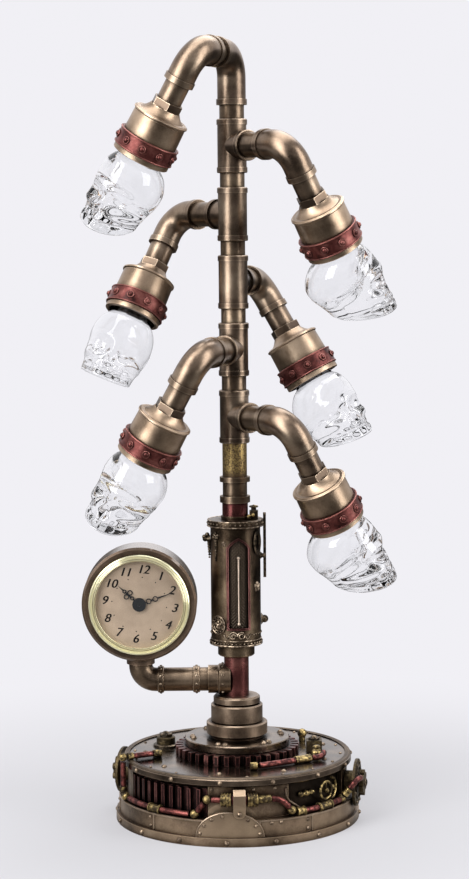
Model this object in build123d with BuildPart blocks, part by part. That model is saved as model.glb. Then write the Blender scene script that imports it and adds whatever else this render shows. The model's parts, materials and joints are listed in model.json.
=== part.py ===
"""Table lamp made of pipe fittings, with a clock and six glass skulls on swivel elbows.

Millimetres, +Z up. The origin is on the axis of the column, at the underside of the base.
The viewer stands at -Y and the clock faces there.
"""
import os
from math import cos, radians, sin

from build123d import *

os.makedirs("parts", exist_ok=True)

# Clearances
thread_clearance = 0.05
running_clearance = 0.05
seat_gap = 0.3

# Pipe and fittings
pipe_radius = 8.55
pipe_bore_radius = 6.3
fitting_radius = 9.8
collar_radius = 10.6
collar_height = 3.9
socket_depth = 9.0
bend_radius = 16.0
elbow_leg = 25.6

# Base
flange_width = 2.5
flange_height = 6.0
skirt_radius = 83.5
skirt_wall = 2.5
skirt_height = 11.5
ledge_thickness = 1.5
wall_setback = 6.0
panel_thickness = 3.5
window_height = 22.3
core_wall = 8.0
core_seams = (80.0, 122.0)
panel_edges = (-105.0, -63.6, -20.0, 200.0)
rear_panel_count = 3
rim_setback = 3.0
top_plate_height = 5.2
base_plate_height = 8.0
panel_seam = 0.4
plate_thickness = 1.1
arch_azimuth = -93.7
arch_half_width = 23.5
arch_height = 18.0
strap_azimuth = -89.2
strap_width = 8.2
strap_top = 38.6
strap_shoulder = 26.4
strap_foot = 19.5
strap_clearance = 0.4
driver_size = (44.0, 24.0, 16.0)
driver_corner = 2.0
base_gear_teeth = 36
base_gear_radius = 43.5
base_gear_tooth_depth = 5.0
base_gear_height = 6.5
gear_cover_radius = 36.8
gear_cover_height = 5.5
cover_bolt_pairs = 6
cover_bolt_start = -50.0
cover_bolt_split = 9.0
cover_bolt_circle = 31.5
cover_bolt_radius = 1.7
cover_bolt_height = 1.6
window_gear_edges = (-160.0, -106.0)
window_gear_teeth = 10
window_gear_pitch = 5.2
window_gear_rim = 0.8
window_gear_tooth = 4.2
window_gear_share = 0.36
window_gear_height = 19.5
flange_rivets = 16
flange_rivet_start = -95.0
rim_rivets = 14
rim_rivet_start = -98.5
rivet_radius = 1.5
rivet_height = 1.0

# Column, from the base upwards
stem_radius = 6.0
stem_bore_radius = 4.5
stem_foot = 31.0
stem_nut_radius = 10.0
stem_nut_height = 6.0
ring_bevel = 0.8
neck_radius = 18.5
neck_height = 2.0
lower_ring_radius = 21.5
lower_ring_height = 9.0
upper_ring_radius = 18.2
upper_ring_height = 12.5
foot_nut_radius = 16.4
foot_nut_height = 6.0
red_pipe_radius = 8.7
red_pipe_length = 28.5
canister_foot_radius = 12.9
canister_foot_height = 8.0
canister_radius = 17.5
canister_wall = 4.0
canister_height = 84.0
canister_cap_radius = 19.4
canister_cap_height = 4.5
cap_ring_radius = 9.9
cap_ring_height = 2.5
gauge_azimuth = -83.4
gauge_sill_rise = 12.2
gauge_headroom = 6.8
gauge_arch_height = 7.0
gauge_flank_height = 4.2
gauge_flank_width = 4.6
gauge_half_width = 8.3
gauge_depth = 1.6
gauge_frame_width = 1.4
gauge_frame_proud = 0.8
gauge_rod_radius = 0.75
gauge_rod_foot = 4.5
gauge_rod_gap = 14.0
gauge_ball_radius = 1.2
finial_gap = 0.1
finial_places = ((180.0, 9.5, 3.0, 6.0), (0.0, 66.5, 4.4, 4.0), (-10.0, 21.0, 2.6, 4.0))
lever_drop = 37.0
lever_length = 46.0
lever_width = 3.0
lever_thickness = 2.0
cap_valve_size = 6.0
red_sleeve_radius = 9.0
red_sleeve_height = 9.5
sleeve_collar_height = 4.5
bronze_sleeve_height = 10.0
gold_collar_height = 3.5
gold_sleeve_height = 23.7
tee_half_height = 18.5
tee_radius = 10.05
branch_radius = 9.2
collar_bevel = 0.6
tee_leg = 19.2
tee_pitch = 46.8
tee_count = 5
top_nipple_length = 9.6
top_elbow_height = 34.5
top_elbow_reach = 28.0

# Arms: azimuth of each branch, which way its head leans, and the turn of its skull
branch_azimuths = (-112.0, -54.0, 130.0, 74.0, -112.0, -54.0)
lean_sides = (-1, 1, 1, -1, -1, 1)
skull_turns = (-86.0, 50.0, -50.0, 45.0, -90.0, 60.0)
head_lean = 30.0
arm_reach = 62.5
short_nipple_length = 13.6
nut_width = 19.0
nut_height = 5.4
nipple_tip = 4.0
dome_radius = 15.9
dome_curve = 13.0
dome_height = 5.4
cup_top_thickness = 2.6
cup_lip_bevel = 0.9
cup_waist = 0.4
cup_radius = 18.9
cup_lip_radius = 19.4
cup_wall = 1.7
cup_body_height = 17.3
band_radius = 20.8
band_height = 11.4
stud_count = 10
stud_radius = 2.2
stud_height = 1.5
stud_sink = 0.3
bezel_radius = 20.0
bezel_height = 3.8
skull_neck_radius = 14.3
skull_bead_radius = 15.6
glass_wall = 1.8
skull_bead_height = 2.4
skull_start = 84.0
skull_sections = (
    (3.8, -1.5, 19.5, 18.4), (9.6, -3.0, 24.0, 21.4), (18.2, -4.0, 27.0, 23.0), (26.9, -3.5, 26.6, 22.4),
    (34.6, -2.0, 24.5, 20.5), (42.0, -0.5, 23.0, 19.0), (50.0, 0.5, 22.0, 18.0), (55.0, 1.0, 21.5, 17.5))
jaw_depth = 46.0
jaw_tilt = 16.0
cavity_sections = (
    (4.0, -1.5, 16.8, 16.2), (10.0, -5.0, 20.0, 18.8), (18.0, -8.0, 21.5, 19.8), (26.0, -10.0, 19.0, 18.0),
    (33.0, -11.0, 13.5, 13.0))
eye_depth = 28.5
eye_forward = 24.0
eye_spacing = 8.8
eye_radius = 5.8
nose_depth = 36.5
nose_forward = 24.0
nose_radius = 3.6
ring_depth = 17.4
ring_clearance = 0.2
shade_ring_height = 3.0
holder_flange_radius = 12.0
holder_flange_height = 2.0
holder_radius = 8.5
light_start = 64.0
light_radius = 6.0
light_length = 12.0

# Clock
clock_offset = 67.5
clock_pipe_height = 97.7
clock_pipe_radius = 8.3
clock_pipe_bore = 5.0
clock_pipe_rise = 1.4
clock_bell_radius = 11.0
clock_bell_length = 12.0
clock_cuff_radius = 9.9
clock_cuff_end = 20.0
clock_collar_radius = 9.4
clock_collars = ((25.8, 30.7), (51.2, 55.5))
clock_bend_radius = 10.4
clock_height = 153.6
clock_radius = 40.2
clock_front = 15.0
clock_back = 14.0
clock_wall = 3.0
clock_edge = 1.4
clock_bezel_radius = 35.3
clock_bezel_inner = 30.6
clock_bezel_height = 2.6
insert_radius = 31.5
insert_clearance = 0.05
dial_depth = 1.8
dial_thickness = 1.0
movement_radius = 28.0
movement_depth = 16.0
glass_thickness = 1.0
arbor_radius = 1.0
arbor_length = 1.8
dial_turn = 7.0
shown_hour = 10
shown_minute = 10.6
hand_thickness = 0.4
hour_hand_length = 19.9
hour_hub_radius = 3.4
hour_hand_gap = 0.4
hour_rings = ((6.6, 0.0, 1.4), (10.3, 1.9, 1.9), (10.3, -1.9, 1.9), (13.8, 0.0, 1.4))
minute_hand_length = 25.6
minute_hub_radius = 4.8
minute_cap_height = 1.0
minute_hand_gap = 1.1
minute_rings = ((7.0, 0.0, 2.0), (12.0, 0.0, 2.0))
ring_wall = 0.7
hand_stem_width = 1.1
hand_tip_width = 1.4

# Cord exit and push switch at the back of the base
gland_azimuth = 90.0
gland_bore_radius = 3.25
gland_neck_radius = 5.5
gland_flange_radius = 7.5
gland_flange_height = 3.0
switch_azimuth = 112.0
switch_body_radius = 7.0
switch_body_length = 18.0
switch_bezel_radius = 9.0
switch_bezel_height = 1.6
button_radius = 5.0
button_length = 9.0
button_proud = 2.6
button_travel = 1.5

# Thin pipework round the base, from the left over the front to the right, between azimuths
tube_radius = 2.0
union_radius = 2.7
coupling_radius = 4.2
clamped_radius = 3.2
corner_radius = 3.0
ledge_offset = 3.5
front_offset = 4.6
front_height = 31.5
rim_offset = 2.9
plate_line = 2.8
riser_azimuth = -163.0
riser_foot = 27.4
corner_turn = 1.6
inlet_azimuths = (-166.0, -163.6)
inlet_setbacks = (19.5, 4.5)
inlet_nut = (-166.6, 55.0)
ledge_tubes = ((-158.0, -138.0), (-130.0, -114.0), (-55.4, -47.4), (-37.6, -29.6))
ledge_unions = ((-137.6, -130.4), (-60.4, -55.8), (-47.0, -38.0))
step_azimuths = (-111.2, -104.6)
front_tube = (-102.3, -98.2)
front_couplings = ((-97.8, -93.0), (-85.4, -80.6))
clamped_tube = (-92.8, -85.6)
front_union = (-80.2, -74.2)
slope_azimuths = (-73.8, -68.6, -65.0)
slope_drops = (0.0, 2.0, 7.0)
slope_corner = -63.0
slope_rise = 1.3
end_corner = -27.2
end_union = ((-26.6, 5.5, 5.7), (-25.6, 8.5, 9.5))
end_tube = ((-25.5, 9.2, 10.6), (-23.6, 12.1, 14.7), (-17.8, 12.5, 14.5))
plate_tube = ((15.2, -52.2), (39.5, -38.4))
plate_bend = ((52.2, -30.2), (57.5, -27.5), (60.5, -21.5))
plate_unions = (((9.0, -53.5), (13.6, -53.0)), ((39.9, -38.1), (50.6, -31.3)))
plate_bend_rises = (0.0, 0.0, 1.5)

# Valves on the base
drum_place = (157.7, 55.2)
drum_size = (6.7, 7.0)
ball_place = (35.0, 57.3)
ball_radius = 3.4
box_place = (2.0, 54.5)
box_size = (11.0, 10.0, 8.0)
handwheel_azimuth = -40.2
handwheel_height = 30.0
handwheel_radius = 6.1
handwheel_rim = 0.9
handwheel_offset = 1.9
side_valve_azimuths = (-12.0, 163.0)
side_valve_height = 27.0
side_boss_radius = 8.0
side_disc_radius = 16.5
side_disc_offset = 7.1
side_disc_thickness = 1.8
star_radius = 6.6
star_lobe = 2.6
star_lobes = 6
star_height = 3.2
star_gap = 1.6

flange_radius = skirt_radius + flange_width
wall_radius = skirt_radius - wall_setback
top_plate_radius = skirt_radius - rim_setback
skirt_top = flange_height + skirt_height
ledge_floor = skirt_top - ledge_thickness
wall_top = skirt_top + window_height
plate_top = wall_top + top_plate_height
gear_top = plate_top + base_gear_height
cover_top = gear_top + gear_cover_height
neck_top = cover_top + neck_height
lower_ring_top = neck_top + lower_ring_height
upper_ring_top = lower_ring_top + upper_ring_height
foot_nut_top = upper_ring_top + foot_nut_height
red_pipe_top = foot_nut_top + red_pipe_length
canister_foot_top = red_pipe_top + canister_foot_height
canister_top = canister_foot_top + canister_height
gauge_sill = canister_foot_top + gauge_sill_rise
gauge_apex = canister_height - gauge_sill_rise - gauge_headroom
gauge_spring = gauge_apex - gauge_arch_height
gauge_flank = gauge_spring + gauge_flank_height
gauge_rod_length = gauge_apex - gauge_rod_foot - gauge_rod_gap
cap_top = canister_top + canister_cap_height
cap_ring_top = cap_top + cap_ring_height
red_sleeve_top = cap_ring_top + red_sleeve_height
sleeve_collar_top = red_sleeve_top + sleeve_collar_height
bronze_sleeve_top = sleeve_collar_top + bronze_sleeve_height
gold_collar_top = bronze_sleeve_top + gold_collar_height
gold_sleeve_top = gold_collar_top + gold_sleeve_height
lowest_tee = gold_sleeve_top + tee_half_height
highest_tee = lowest_tee + tee_pitch * (tee_count - 1)
top_elbow_foot = highest_tee + tee_half_height + top_nipple_length
top_branch_height = top_elbow_foot + top_elbow_height
stem_fit_radius = stem_radius + thread_clearance
socket_radius = pipe_radius + thread_clearance
stem_top = lowest_tee - tee_half_height + socket_depth - seat_gap
on_seat = (Align.CENTER, Align.CENTER, Align.MIN)
cap_valve_offset = cap_ring_radius + finial_gap + cap_valve_size / 2
core_radius = wall_radius - panel_thickness
strap_face = skirt_radius + plate_thickness
ledge_line = wall_radius + ledge_offset
front_line = wall_radius + front_offset
rim_line = top_plate_radius + rim_offset
handwheel_line = wall_radius + handwheel_offset
side_disc_line = wall_radius + side_disc_offset
rear_height = skirt_top + window_height / 2
rear_holes = (
    (gland_azimuth, gland_neck_radius + thread_clearance),
    (switch_azimuth, switch_body_radius + thread_clearance))
branch_heights = (top_branch_height,) + tuple(highest_tee - tee_pitch * i for i in range(tee_count))


def along(azimuth):
    """Horizontal unit vector at an azimuth."""
    return Vector(cos(radians(azimuth)), sin(radians(azimuth)), 0)


def upright(seat):
    """Plane through the axis of a seat, where an outline is (radius, height along the axis)."""
    return Plane(origin=seat.origin, x_dir=seat.x_dir, z_dir=-seat.y_dir)


def level(height):
    """Seat on the axis of the column at a height."""
    return Plane.XY.offset(height)


def outward(azimuth, radius, height):
    """Seat on a wall of the base, with its axis pointing away from the column."""
    return Plane(origin=along(azimuth) * radius + Vector(0, 0, height), x_dir=(0, 0, 1), z_dir=along(azimuth))


def axis_of(seat):
    """Axis of a seat."""
    return Axis(seat.origin, seat.z_dir)


def outline(seat, points):
    """Closed outline of (radius, height) points in the upright plane of a seat."""
    with BuildSketch(upright(seat)) as section:
        with BuildLine():
            Polyline(*points, close=True)
        make_face()
    return section.sketch


def ring(seat, inner, outer, low, high, bevel=0.0):
    """Outline of a ring with bevelled outer corners."""
    corners = [
        (inner, low), (outer - bevel, low), (outer, low + bevel), (outer, high - bevel),
        (outer - bevel, high)]
    if bevel == 0.0:
        corners = [(inner, low), (outer, low), (outer, high)]
    return outline(seat, corners + [(inner, high)])


def sector(inner, outer, start, end):
    """Outline of a ring sector between two azimuths, on the XY plane."""
    middle = (start + end) / 2
    with BuildSketch() as area:
        with BuildLine():
            ThreePointArc(along(start) * outer, along(middle) * outer, along(end) * outer)
            Line(along(end) * outer, along(end) * inner)
            ThreePointArc(along(end) * inner, along(middle) * inner, along(start) * inner)
            Line(along(start) * inner, along(start) * outer)
        make_face()
    return area.sketch


def elbow_path(start, corner, end, radius):
    """Centre line of an elbow, two straight legs joined by an arc."""
    with BuildLine() as route:
        FilletPolyline(start, corner, end, radius=radius)
    return route.line


def write_group(name, *pieces):
    """Write separate solids as one node."""
    group = Compound(children=[solid for piece in pieces for solid in piece.part.solids()])
    group.label = name
    export_step(group, f"parts/{name}.step")


# Base: cast plate that weighs the lamp down
with BuildPart() as base_plate:
    with BuildSketch():
        Circle(skirt_radius - skirt_wall - thread_clearance)
    extrude(amount=base_plate_height)
base_plate.part.label = "base_plate"
export_step(base_plate.part, "parts/base_plate.step")

# Base: flange and skirt in one turned ring, open inside
with BuildPart() as base_skirt:
    with BuildSketch(upright(level(0))):
        with BuildLine():
            Polyline(
                (skirt_radius - skirt_wall, 0), (flange_radius, 0), (flange_radius, flange_height),
                (skirt_radius, flange_height), (skirt_radius, skirt_top), (core_radius, skirt_top),
                (core_radius, ledge_floor), (skirt_radius - skirt_wall, ledge_floor), close=True)
        make_face()
    revolve(axis=Axis.Z)
base_skirt.part.label = "base_skirt"
export_step(base_skirt.part, "parts/base_skirt.step")

# Base: drum that carries the top plate and backs the windows, in two castings. The rear one has the two holes
core_outside = core_radius - thread_clearance
core_inside = core_radius - core_wall
with BuildPart() as front_core:
    with BuildSketch(level(base_plate_height)):
        add(sector(
            core_inside, core_outside, core_seams[1] + panel_seam / 2, core_seams[0] - panel_seam / 2 + 360))
    extrude(amount=wall_top - base_plate_height)
with BuildPart() as rear_core:
    with BuildSketch(level(base_plate_height)):
        add(sector(core_inside, core_outside, core_seams[0] + panel_seam / 2, core_seams[1] - panel_seam / 2))
    extrude(amount=wall_top - base_plate_height)
    for azimuth, radius in rear_holes:
        with BuildSketch(outward(azimuth, 0, rear_height)):
            Circle(radius)
        extrude(amount=flange_radius, mode=Mode.SUBTRACT)
write_group("base_core", front_core, rear_core)

# Base: wall panels between the windows, the riveted arch plate and the strap over the pipework
rear_span = (panel_edges[3] - panel_edges[2]) / rear_panel_count
rear_edges = [panel_edges[2] + rear_span * i for i in range(rear_panel_count + 1)]
with BuildPart() as base_panels:
    with BuildSketch(level(skirt_top)):
        add(sector(core_radius, wall_radius, panel_edges[0], panel_edges[1]))
    extrude(amount=window_height)
    for start, end in zip(rear_edges, rear_edges[1:]):
        with BuildSketch(level(skirt_top)):
            add(sector(core_radius, wall_radius, start + panel_seam / 2, end - panel_seam / 2))
        extrude(amount=window_height)
    for azimuth, radius in rear_holes:
        with BuildSketch(outward(azimuth, 0, rear_height)):
            Circle(radius)
        extrude(amount=flange_radius, mode=Mode.SUBTRACT)
with BuildPart() as arch_plate:
    with BuildSketch(outward(arch_azimuth, 0, flange_height)):
        Ellipse(arch_height, arch_half_width)
        Rectangle(arch_height, arch_half_width * 2, align=(Align.MAX, Align.CENTER), mode=Mode.SUBTRACT)
    extrude(amount=strap_face + plate_thickness)
    with BuildSketch(level(flange_height)):
        Circle(strap_face)
        Circle(skirt_radius, mode=Mode.SUBTRACT)
    extrude(amount=arch_height, mode=Mode.INTERSECT)
strap_inside = front_line + clamped_radius + strap_clearance
strap_outside = strap_inside + plate_thickness
with BuildPart() as strap:
    with BuildSketch(upright(Plane(origin=(0, 0, 0), x_dir=along(strap_azimuth), z_dir=(0, 0, 1)))):
        with BuildLine():
            Polyline(
                (wall_radius, strap_top), (front_line, strap_top), (strap_outside, strap_top - clamped_radius),
                (strap_outside, strap_shoulder),
                (strap_face + plate_thickness, strap_shoulder - clamped_radius),
                (strap_face + plate_thickness, strap_foot), (strap_face, strap_foot),
                (strap_face, strap_shoulder - clamped_radius), (strap_inside, strap_shoulder),
                (strap_inside, strap_top - clamped_radius - plate_thickness / 2),
                (front_line - plate_thickness / 2, strap_top - plate_thickness),
                (wall_radius, strap_top - plate_thickness), close=True)
        make_face()
    extrude(amount=strap_width / 2, both=True)
    with BuildSketch(outward(strap_azimuth, 0, strap_foot)):
        with Locations((flange_radius / 2, 0)):
            RectangleRounded(flange_radius, strap_width, strap_width * 0.45)
    extrude(amount=strap_outside, mode=Mode.INTERSECT)
write_group("base_panels", base_panels, arch_plate, strap)

# Base: top plate with a bevelled rim
with BuildPart() as base_top_plate:
    revolve(ring(level(wall_top), stem_fit_radius, top_plate_radius, 0, top_plate_height, bevel=0.8))
base_top_plate.part.label = "base_top_plate"
export_step(base_top_plate.part, "parts/base_top_plate.step")

# Base: toothed ring behind the left window and the large gear on the top plate
window_gear_span = window_gear_pitch * window_gear_teeth
window_gear_start = (window_gear_edges[0] + window_gear_edges[1] - window_gear_span) / 2
with BuildPart() as window_gear:
    with BuildSketch(level(skirt_top)):
        add(sector(core_radius, core_radius + window_gear_rim, *window_gear_edges))
        for i in range(window_gear_teeth):
            tooth = window_gear_start + window_gear_pitch * (i + 0.25)
            tooth_end = tooth + window_gear_pitch * window_gear_share
            add(sector(core_radius, core_radius + window_gear_tooth, tooth, tooth_end))
    extrude(amount=window_gear_height)
gear_root = base_gear_radius - base_gear_tooth_depth
gear_pitch = 360 / base_gear_teeth
with BuildPart() as top_gear:
    with BuildSketch(level(plate_top)):
        with BuildLine():
            flanks = ((-0.32, gear_root), (-0.2, base_gear_radius), (0.2, base_gear_radius), (0.32, gear_root))
            Polyline(
                *(along(gear_pitch * (i + share)) * radius
                  for i in range(base_gear_teeth) for share, radius in flanks),
                close=True)
        make_face()
        Circle(stem_fit_radius, mode=Mode.SUBTRACT)
    extrude(amount=base_gear_height)
write_group("base_gears", window_gear, top_gear)

# Base: cover disc over the gear
with BuildPart() as gear_cover:
    revolve(ring(level(gear_top), stem_fit_radius, gear_cover_radius, 0, gear_cover_height, bevel=0.6))
gear_cover.part.label = "gear_cover"
export_step(gear_cover.part, "parts/gear_cover.step")

# Base: rivets round the flange and the rim, and the bolts in pairs on the cover
with BuildPart() as base_fasteners:
    for i in range(flange_rivets):
        azimuth = flange_rivet_start + 360 / flange_rivets * i
        with Locations(outward(azimuth, flange_radius, flange_height / 2)):
            Cone(rivet_radius, rivet_radius / 2, rivet_height, align=on_seat)
    for i in range(rim_rivets):
        azimuth = rim_rivet_start + 360 / rim_rivets * i
        with Locations(outward(azimuth, top_plate_radius, wall_top + top_plate_height / 2)):
            Cone(rivet_radius, rivet_radius / 2, rivet_height, align=on_seat)
    for i in range(cover_bolt_pairs):
        azimuth = cover_bolt_start + 360 / cover_bolt_pairs * i
        for turn in (-cover_bolt_split / 2, cover_bolt_split / 2):
            bolt = along(azimuth + turn) * cover_bolt_circle
            with BuildSketch(level(cover_top)):
                with Locations((bolt.X, bolt.Y)):
                    RegularPolygon(cover_bolt_radius, 6)
            extrude(amount=cover_bolt_height)
base_fasteners.part.label = "base_fasteners"
export_step(base_fasteners.part, "parts/base_fasteners.step")

# Base: supply for the lights, lying on the base plate
with BuildPart() as led_driver:
    with BuildSketch(level(base_plate_height)):
        RectangleRounded(driver_size[0], driver_size[1], driver_corner)
    extrude(amount=driver_size[2])
led_driver.part.label = "led_driver"
export_step(led_driver.part, "parts/led_driver.step")

# Column: threaded stem that clamps the column to the top plate, with its nut below the plate
with BuildPart() as stem:
    revolve(ring(level(0), stem_bore_radius, stem_radius, stem_foot, stem_top))
    with BuildSketch(level(wall_top - stem_nut_height)):
        RegularPolygon(stem_nut_radius, 6)
        Circle(stem_fit_radius, mode=Mode.SUBTRACT)
    extrude(amount=stem_nut_height)
stem.part.label = "stem"
export_step(stem.part, "parts/stem.step")

# Column: stepped rings at the foot
with BuildPart() as lower_ring:
    revolve(outline(level(cover_top), [
        (stem_fit_radius, 0), (neck_radius, 0), (neck_radius, neck_height),
        (lower_ring_radius - ring_bevel, neck_height), (lower_ring_radius, neck_height + ring_bevel),
        (lower_ring_radius, neck_height + lower_ring_height - ring_bevel),
        (lower_ring_radius - ring_bevel, neck_height + lower_ring_height),
        (stem_fit_radius, neck_height + lower_ring_height)]))
with BuildPart() as upper_ring:
    revolve(ring(level(lower_ring_top), stem_fit_radius, upper_ring_radius, 0, upper_ring_height, ring_bevel))
with BuildPart() as foot_nut:
    revolve(ring(level(upper_ring_top), stem_fit_radius, foot_nut_radius, 0, foot_nut_height, 1.2))
write_group("foot_rings", lower_ring, upper_ring, foot_nut)

# Column: red pipe below the canister and red sleeve above it
with BuildPart() as red_pipe:
    revolve(ring(level(foot_nut_top), stem_fit_radius, red_pipe_radius, 0, red_pipe_length))
with BuildPart() as red_sleeve:
    revolve(ring(level(cap_ring_top), stem_fit_radius, red_sleeve_radius, 0, red_sleeve_height))
write_group("red_pipes", red_pipe, red_sleeve)

# Column: canister with its foot collar, beads, cap and the arched recess for the gauge
front = Plane(origin=(0, 0, gauge_sill), x_dir=(0, 0, 1), z_dir=along(gauge_azimuth))
with BuildSketch(front) as arch_outline:
    with BuildLine():
        Polyline((0, -gauge_half_width), (0, gauge_half_width), (gauge_spring, gauge_half_width))
        ThreePointArc((gauge_spring, gauge_half_width), (gauge_flank, gauge_flank_width), (gauge_apex, 0))
        ThreePointArc((gauge_apex, 0), (gauge_flank, -gauge_flank_width), (gauge_spring, -gauge_half_width))
        Line((gauge_spring, -gauge_half_width), (0, -gauge_half_width))
    make_face()
with BuildPart() as canister_shell:
    revolve(outline(level(canister_foot_top), [
        (stem_fit_radius, 0), (canister_radius - ring_bevel, 0), (canister_radius, ring_bevel),
        (canister_radius, canister_height), (canister_radius - canister_wall, canister_height),
        (canister_radius - canister_wall, canister_wall), (stem_fit_radius, canister_wall)]))
    with BuildSketch(front):
        add(offset(arch_outline.sketch_local, -gauge_frame_width, mode=Mode.PRIVATE))
    extrude(amount=canister_cap_radius, mode=Mode.SUBTRACT)
    with BuildSketch(level(canister_foot_top)):
        Circle(canister_radius - gauge_depth)
        Circle(canister_radius - canister_wall, mode=Mode.SUBTRACT)
    extrude(amount=canister_height)
with BuildPart() as canister_foot:
    revolve(ring(
        level(red_pipe_top), stem_fit_radius, canister_foot_radius, 0, canister_foot_height, ring_bevel))
with BuildPart() as canister_cap:
    revolve(outline(level(canister_top), [
        (stem_fit_radius, 0), (canister_cap_radius, 0), (canister_cap_radius, canister_cap_height - ring_bevel),
        (canister_cap_radius - ring_bevel, canister_cap_height), (cap_ring_radius, canister_cap_height),
        (cap_ring_radius, canister_cap_height + cap_ring_height),
        (stem_fit_radius, canister_cap_height + cap_ring_height)]))
write_group("canister", canister_shell, canister_foot, canister_cap)

# Column: red arch frame bent round the canister
with BuildPart() as canister_frame:
    with BuildSketch(front):
        add(arch_outline.sketch_local)
        add(offset(arch_outline.sketch_local, -gauge_frame_width, mode=Mode.PRIVATE), mode=Mode.SUBTRACT)
    extrude(amount=canister_cap_radius)
    with BuildSketch(level(canister_foot_top)):
        Circle(canister_radius + gauge_frame_proud)
        Circle(canister_radius, mode=Mode.SUBTRACT)
    extrude(amount=canister_height, mode=Mode.INTERSECT)
canister_frame.part.label = "canister_frame"
export_step(canister_frame.part, "parts/canister_frame.step")

# Column: gauge rod, finials, lever and valve on the canister
gauge_axis = along(gauge_azimuth) * (canister_radius - gauge_depth + gauge_ball_radius)
with BuildPart() as gauge_rod:
    with BuildSketch(Plane(origin=gauge_axis + Vector(0, 0, gauge_sill + gauge_rod_foot), z_dir=(0, 0, 1))):
        Circle(gauge_rod_radius)
    extrude(amount=gauge_rod_length)
    for height in (gauge_rod_foot, gauge_rod_foot + gauge_rod_length):
        with Locations(gauge_axis + Vector(0, 0, gauge_sill + height)):
            Sphere(gauge_ball_radius)
finials = []
for azimuth, drop, radius, length in finial_places:
    height = canister_top - drop
    with BuildPart() as finial:
        with Locations(outward(azimuth, canister_radius + finial_gap, height)):
            Cone(radius, radius * 0.45, length * 0.5, align=on_seat)
        with Locations(outward(azimuth, canister_radius + finial_gap + length * 0.6, height)):
            Sphere(radius * 0.62)
        with BuildSketch(level(canister_foot_top)):
            Circle(canister_radius + finial_gap)
        extrude(amount=canister_height, mode=Mode.SUBTRACT)
    finials.append(finial)
with BuildPart() as lever:
    with BuildSketch(outward(0, canister_cap_radius + finial_gap, canister_top - lever_drop)):
        with Locations((lever_length / 2, 0)):
            RectangleRounded(lever_length, lever_width, lever_width * 0.45)
    extrude(amount=lever_thickness)
with BuildPart() as cap_valve:
    with BuildSketch(level(cap_top)):
        with Locations((cap_valve_offset, 0)):
            RectangleRounded(cap_valve_size, cap_valve_size, cap_valve_size / 6)
    extrude(amount=cap_valve_size)
    with BuildSketch(Plane(origin=(cap_valve_offset, 0, cap_top + cap_valve_size), z_dir=(0, 0, 1))):
        Circle(cap_valve_size * 0.3)
    extrude(amount=cap_valve_size * 0.35)
write_group("canister_fittings", gauge_rod, *finials, lever, cap_valve)

# Column: tees, one for each branch below the top elbow
tee_outline = [
    (0, -tee_half_height), (collar_radius - collar_bevel, -tee_half_height),
    (collar_radius, collar_bevel - tee_half_height), (collar_radius, collar_height - tee_half_height),
    (tee_radius, collar_height - tee_half_height), (tee_radius, tee_half_height - collar_height),
    (collar_radius, tee_half_height - collar_height), (collar_radius, tee_half_height - collar_bevel),
    (collar_radius - collar_bevel, tee_half_height), (0, tee_half_height)]
tee_bore = [
    (0, -tee_half_height), (socket_radius, -tee_half_height), (socket_radius, socket_depth - tee_half_height),
    (pipe_bore_radius, socket_depth - tee_half_height), (pipe_bore_radius, tee_half_height - socket_depth),
    (socket_radius, tee_half_height - socket_depth), (socket_radius, tee_half_height), (0, tee_half_height)]
branch_outline = [
    (0, 0), (branch_radius, 0), (branch_radius, tee_leg - collar_height),
    (collar_radius, tee_leg - collar_height),
    (collar_radius, tee_leg - collar_bevel), (collar_radius - collar_bevel, tee_leg), (0, tee_leg)]
branch_bore = [
    (0, 0), (pipe_bore_radius, 0), (pipe_bore_radius, tee_leg - socket_depth),
    (socket_radius, tee_leg - socket_depth), (socket_radius, tee_leg), (0, tee_leg)]
fittings = []
for azimuth, height in zip(branch_azimuths[1:], branch_heights[1:]):
    run = level(height)
    branch = outward(azimuth, 0, height)
    with BuildPart() as tee:
        revolve(outline(run, tee_outline), axis=axis_of(run))
        revolve(outline(branch, branch_outline), axis=axis_of(branch))
        revolve(outline(run, tee_bore), axis=axis_of(run), mode=Mode.SUBTRACT)
        revolve(outline(branch, branch_bore), axis=axis_of(branch), mode=Mode.SUBTRACT)
    fittings.append(tee)


def elbow(corner, first, first_leg, second, second_leg):
    """Elbow with a collar and a socket at the end of each leg."""
    start = Plane(origin=corner + first * first_leg, z_dir=first)
    finish = Plane(origin=corner + second * second_leg, z_dir=second)
    path = elbow_path(start.origin, corner, finish.origin, bend_radius)
    with BuildPart() as fitting:
        with BuildSketch(start):
            Circle(fitting_radius)
        sweep(path=path)
        for end in (start, finish):
            with BuildSketch(end):
                Circle(collar_radius)
            extrude(amount=-collar_height)
        with BuildSketch(start):
            Circle(pipe_bore_radius)
        sweep(path=path, mode=Mode.SUBTRACT)
        for end in (start, finish):
            with BuildSketch(end):
                Circle(socket_radius)
            extrude(amount=-socket_depth, mode=Mode.SUBTRACT)
    return fitting


# Column: elbow that turns the pipe into the first branch
up = Vector(0, 0, 1)
top_corner = up * top_branch_height
fittings.append(elbow(top_corner, -up, top_elbow_height, along(branch_azimuths[0]), top_elbow_reach))
write_group("column_fittings", *fittings)


def pipe(seat, low, high, bore=pipe_bore_radius, radius=pipe_radius):
    """Length of pipe along a seat's axis."""
    with BuildPart() as length:
        revolve(ring(seat, bore, radius, low, high), axis=axis_of(seat))
    return length


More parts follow.
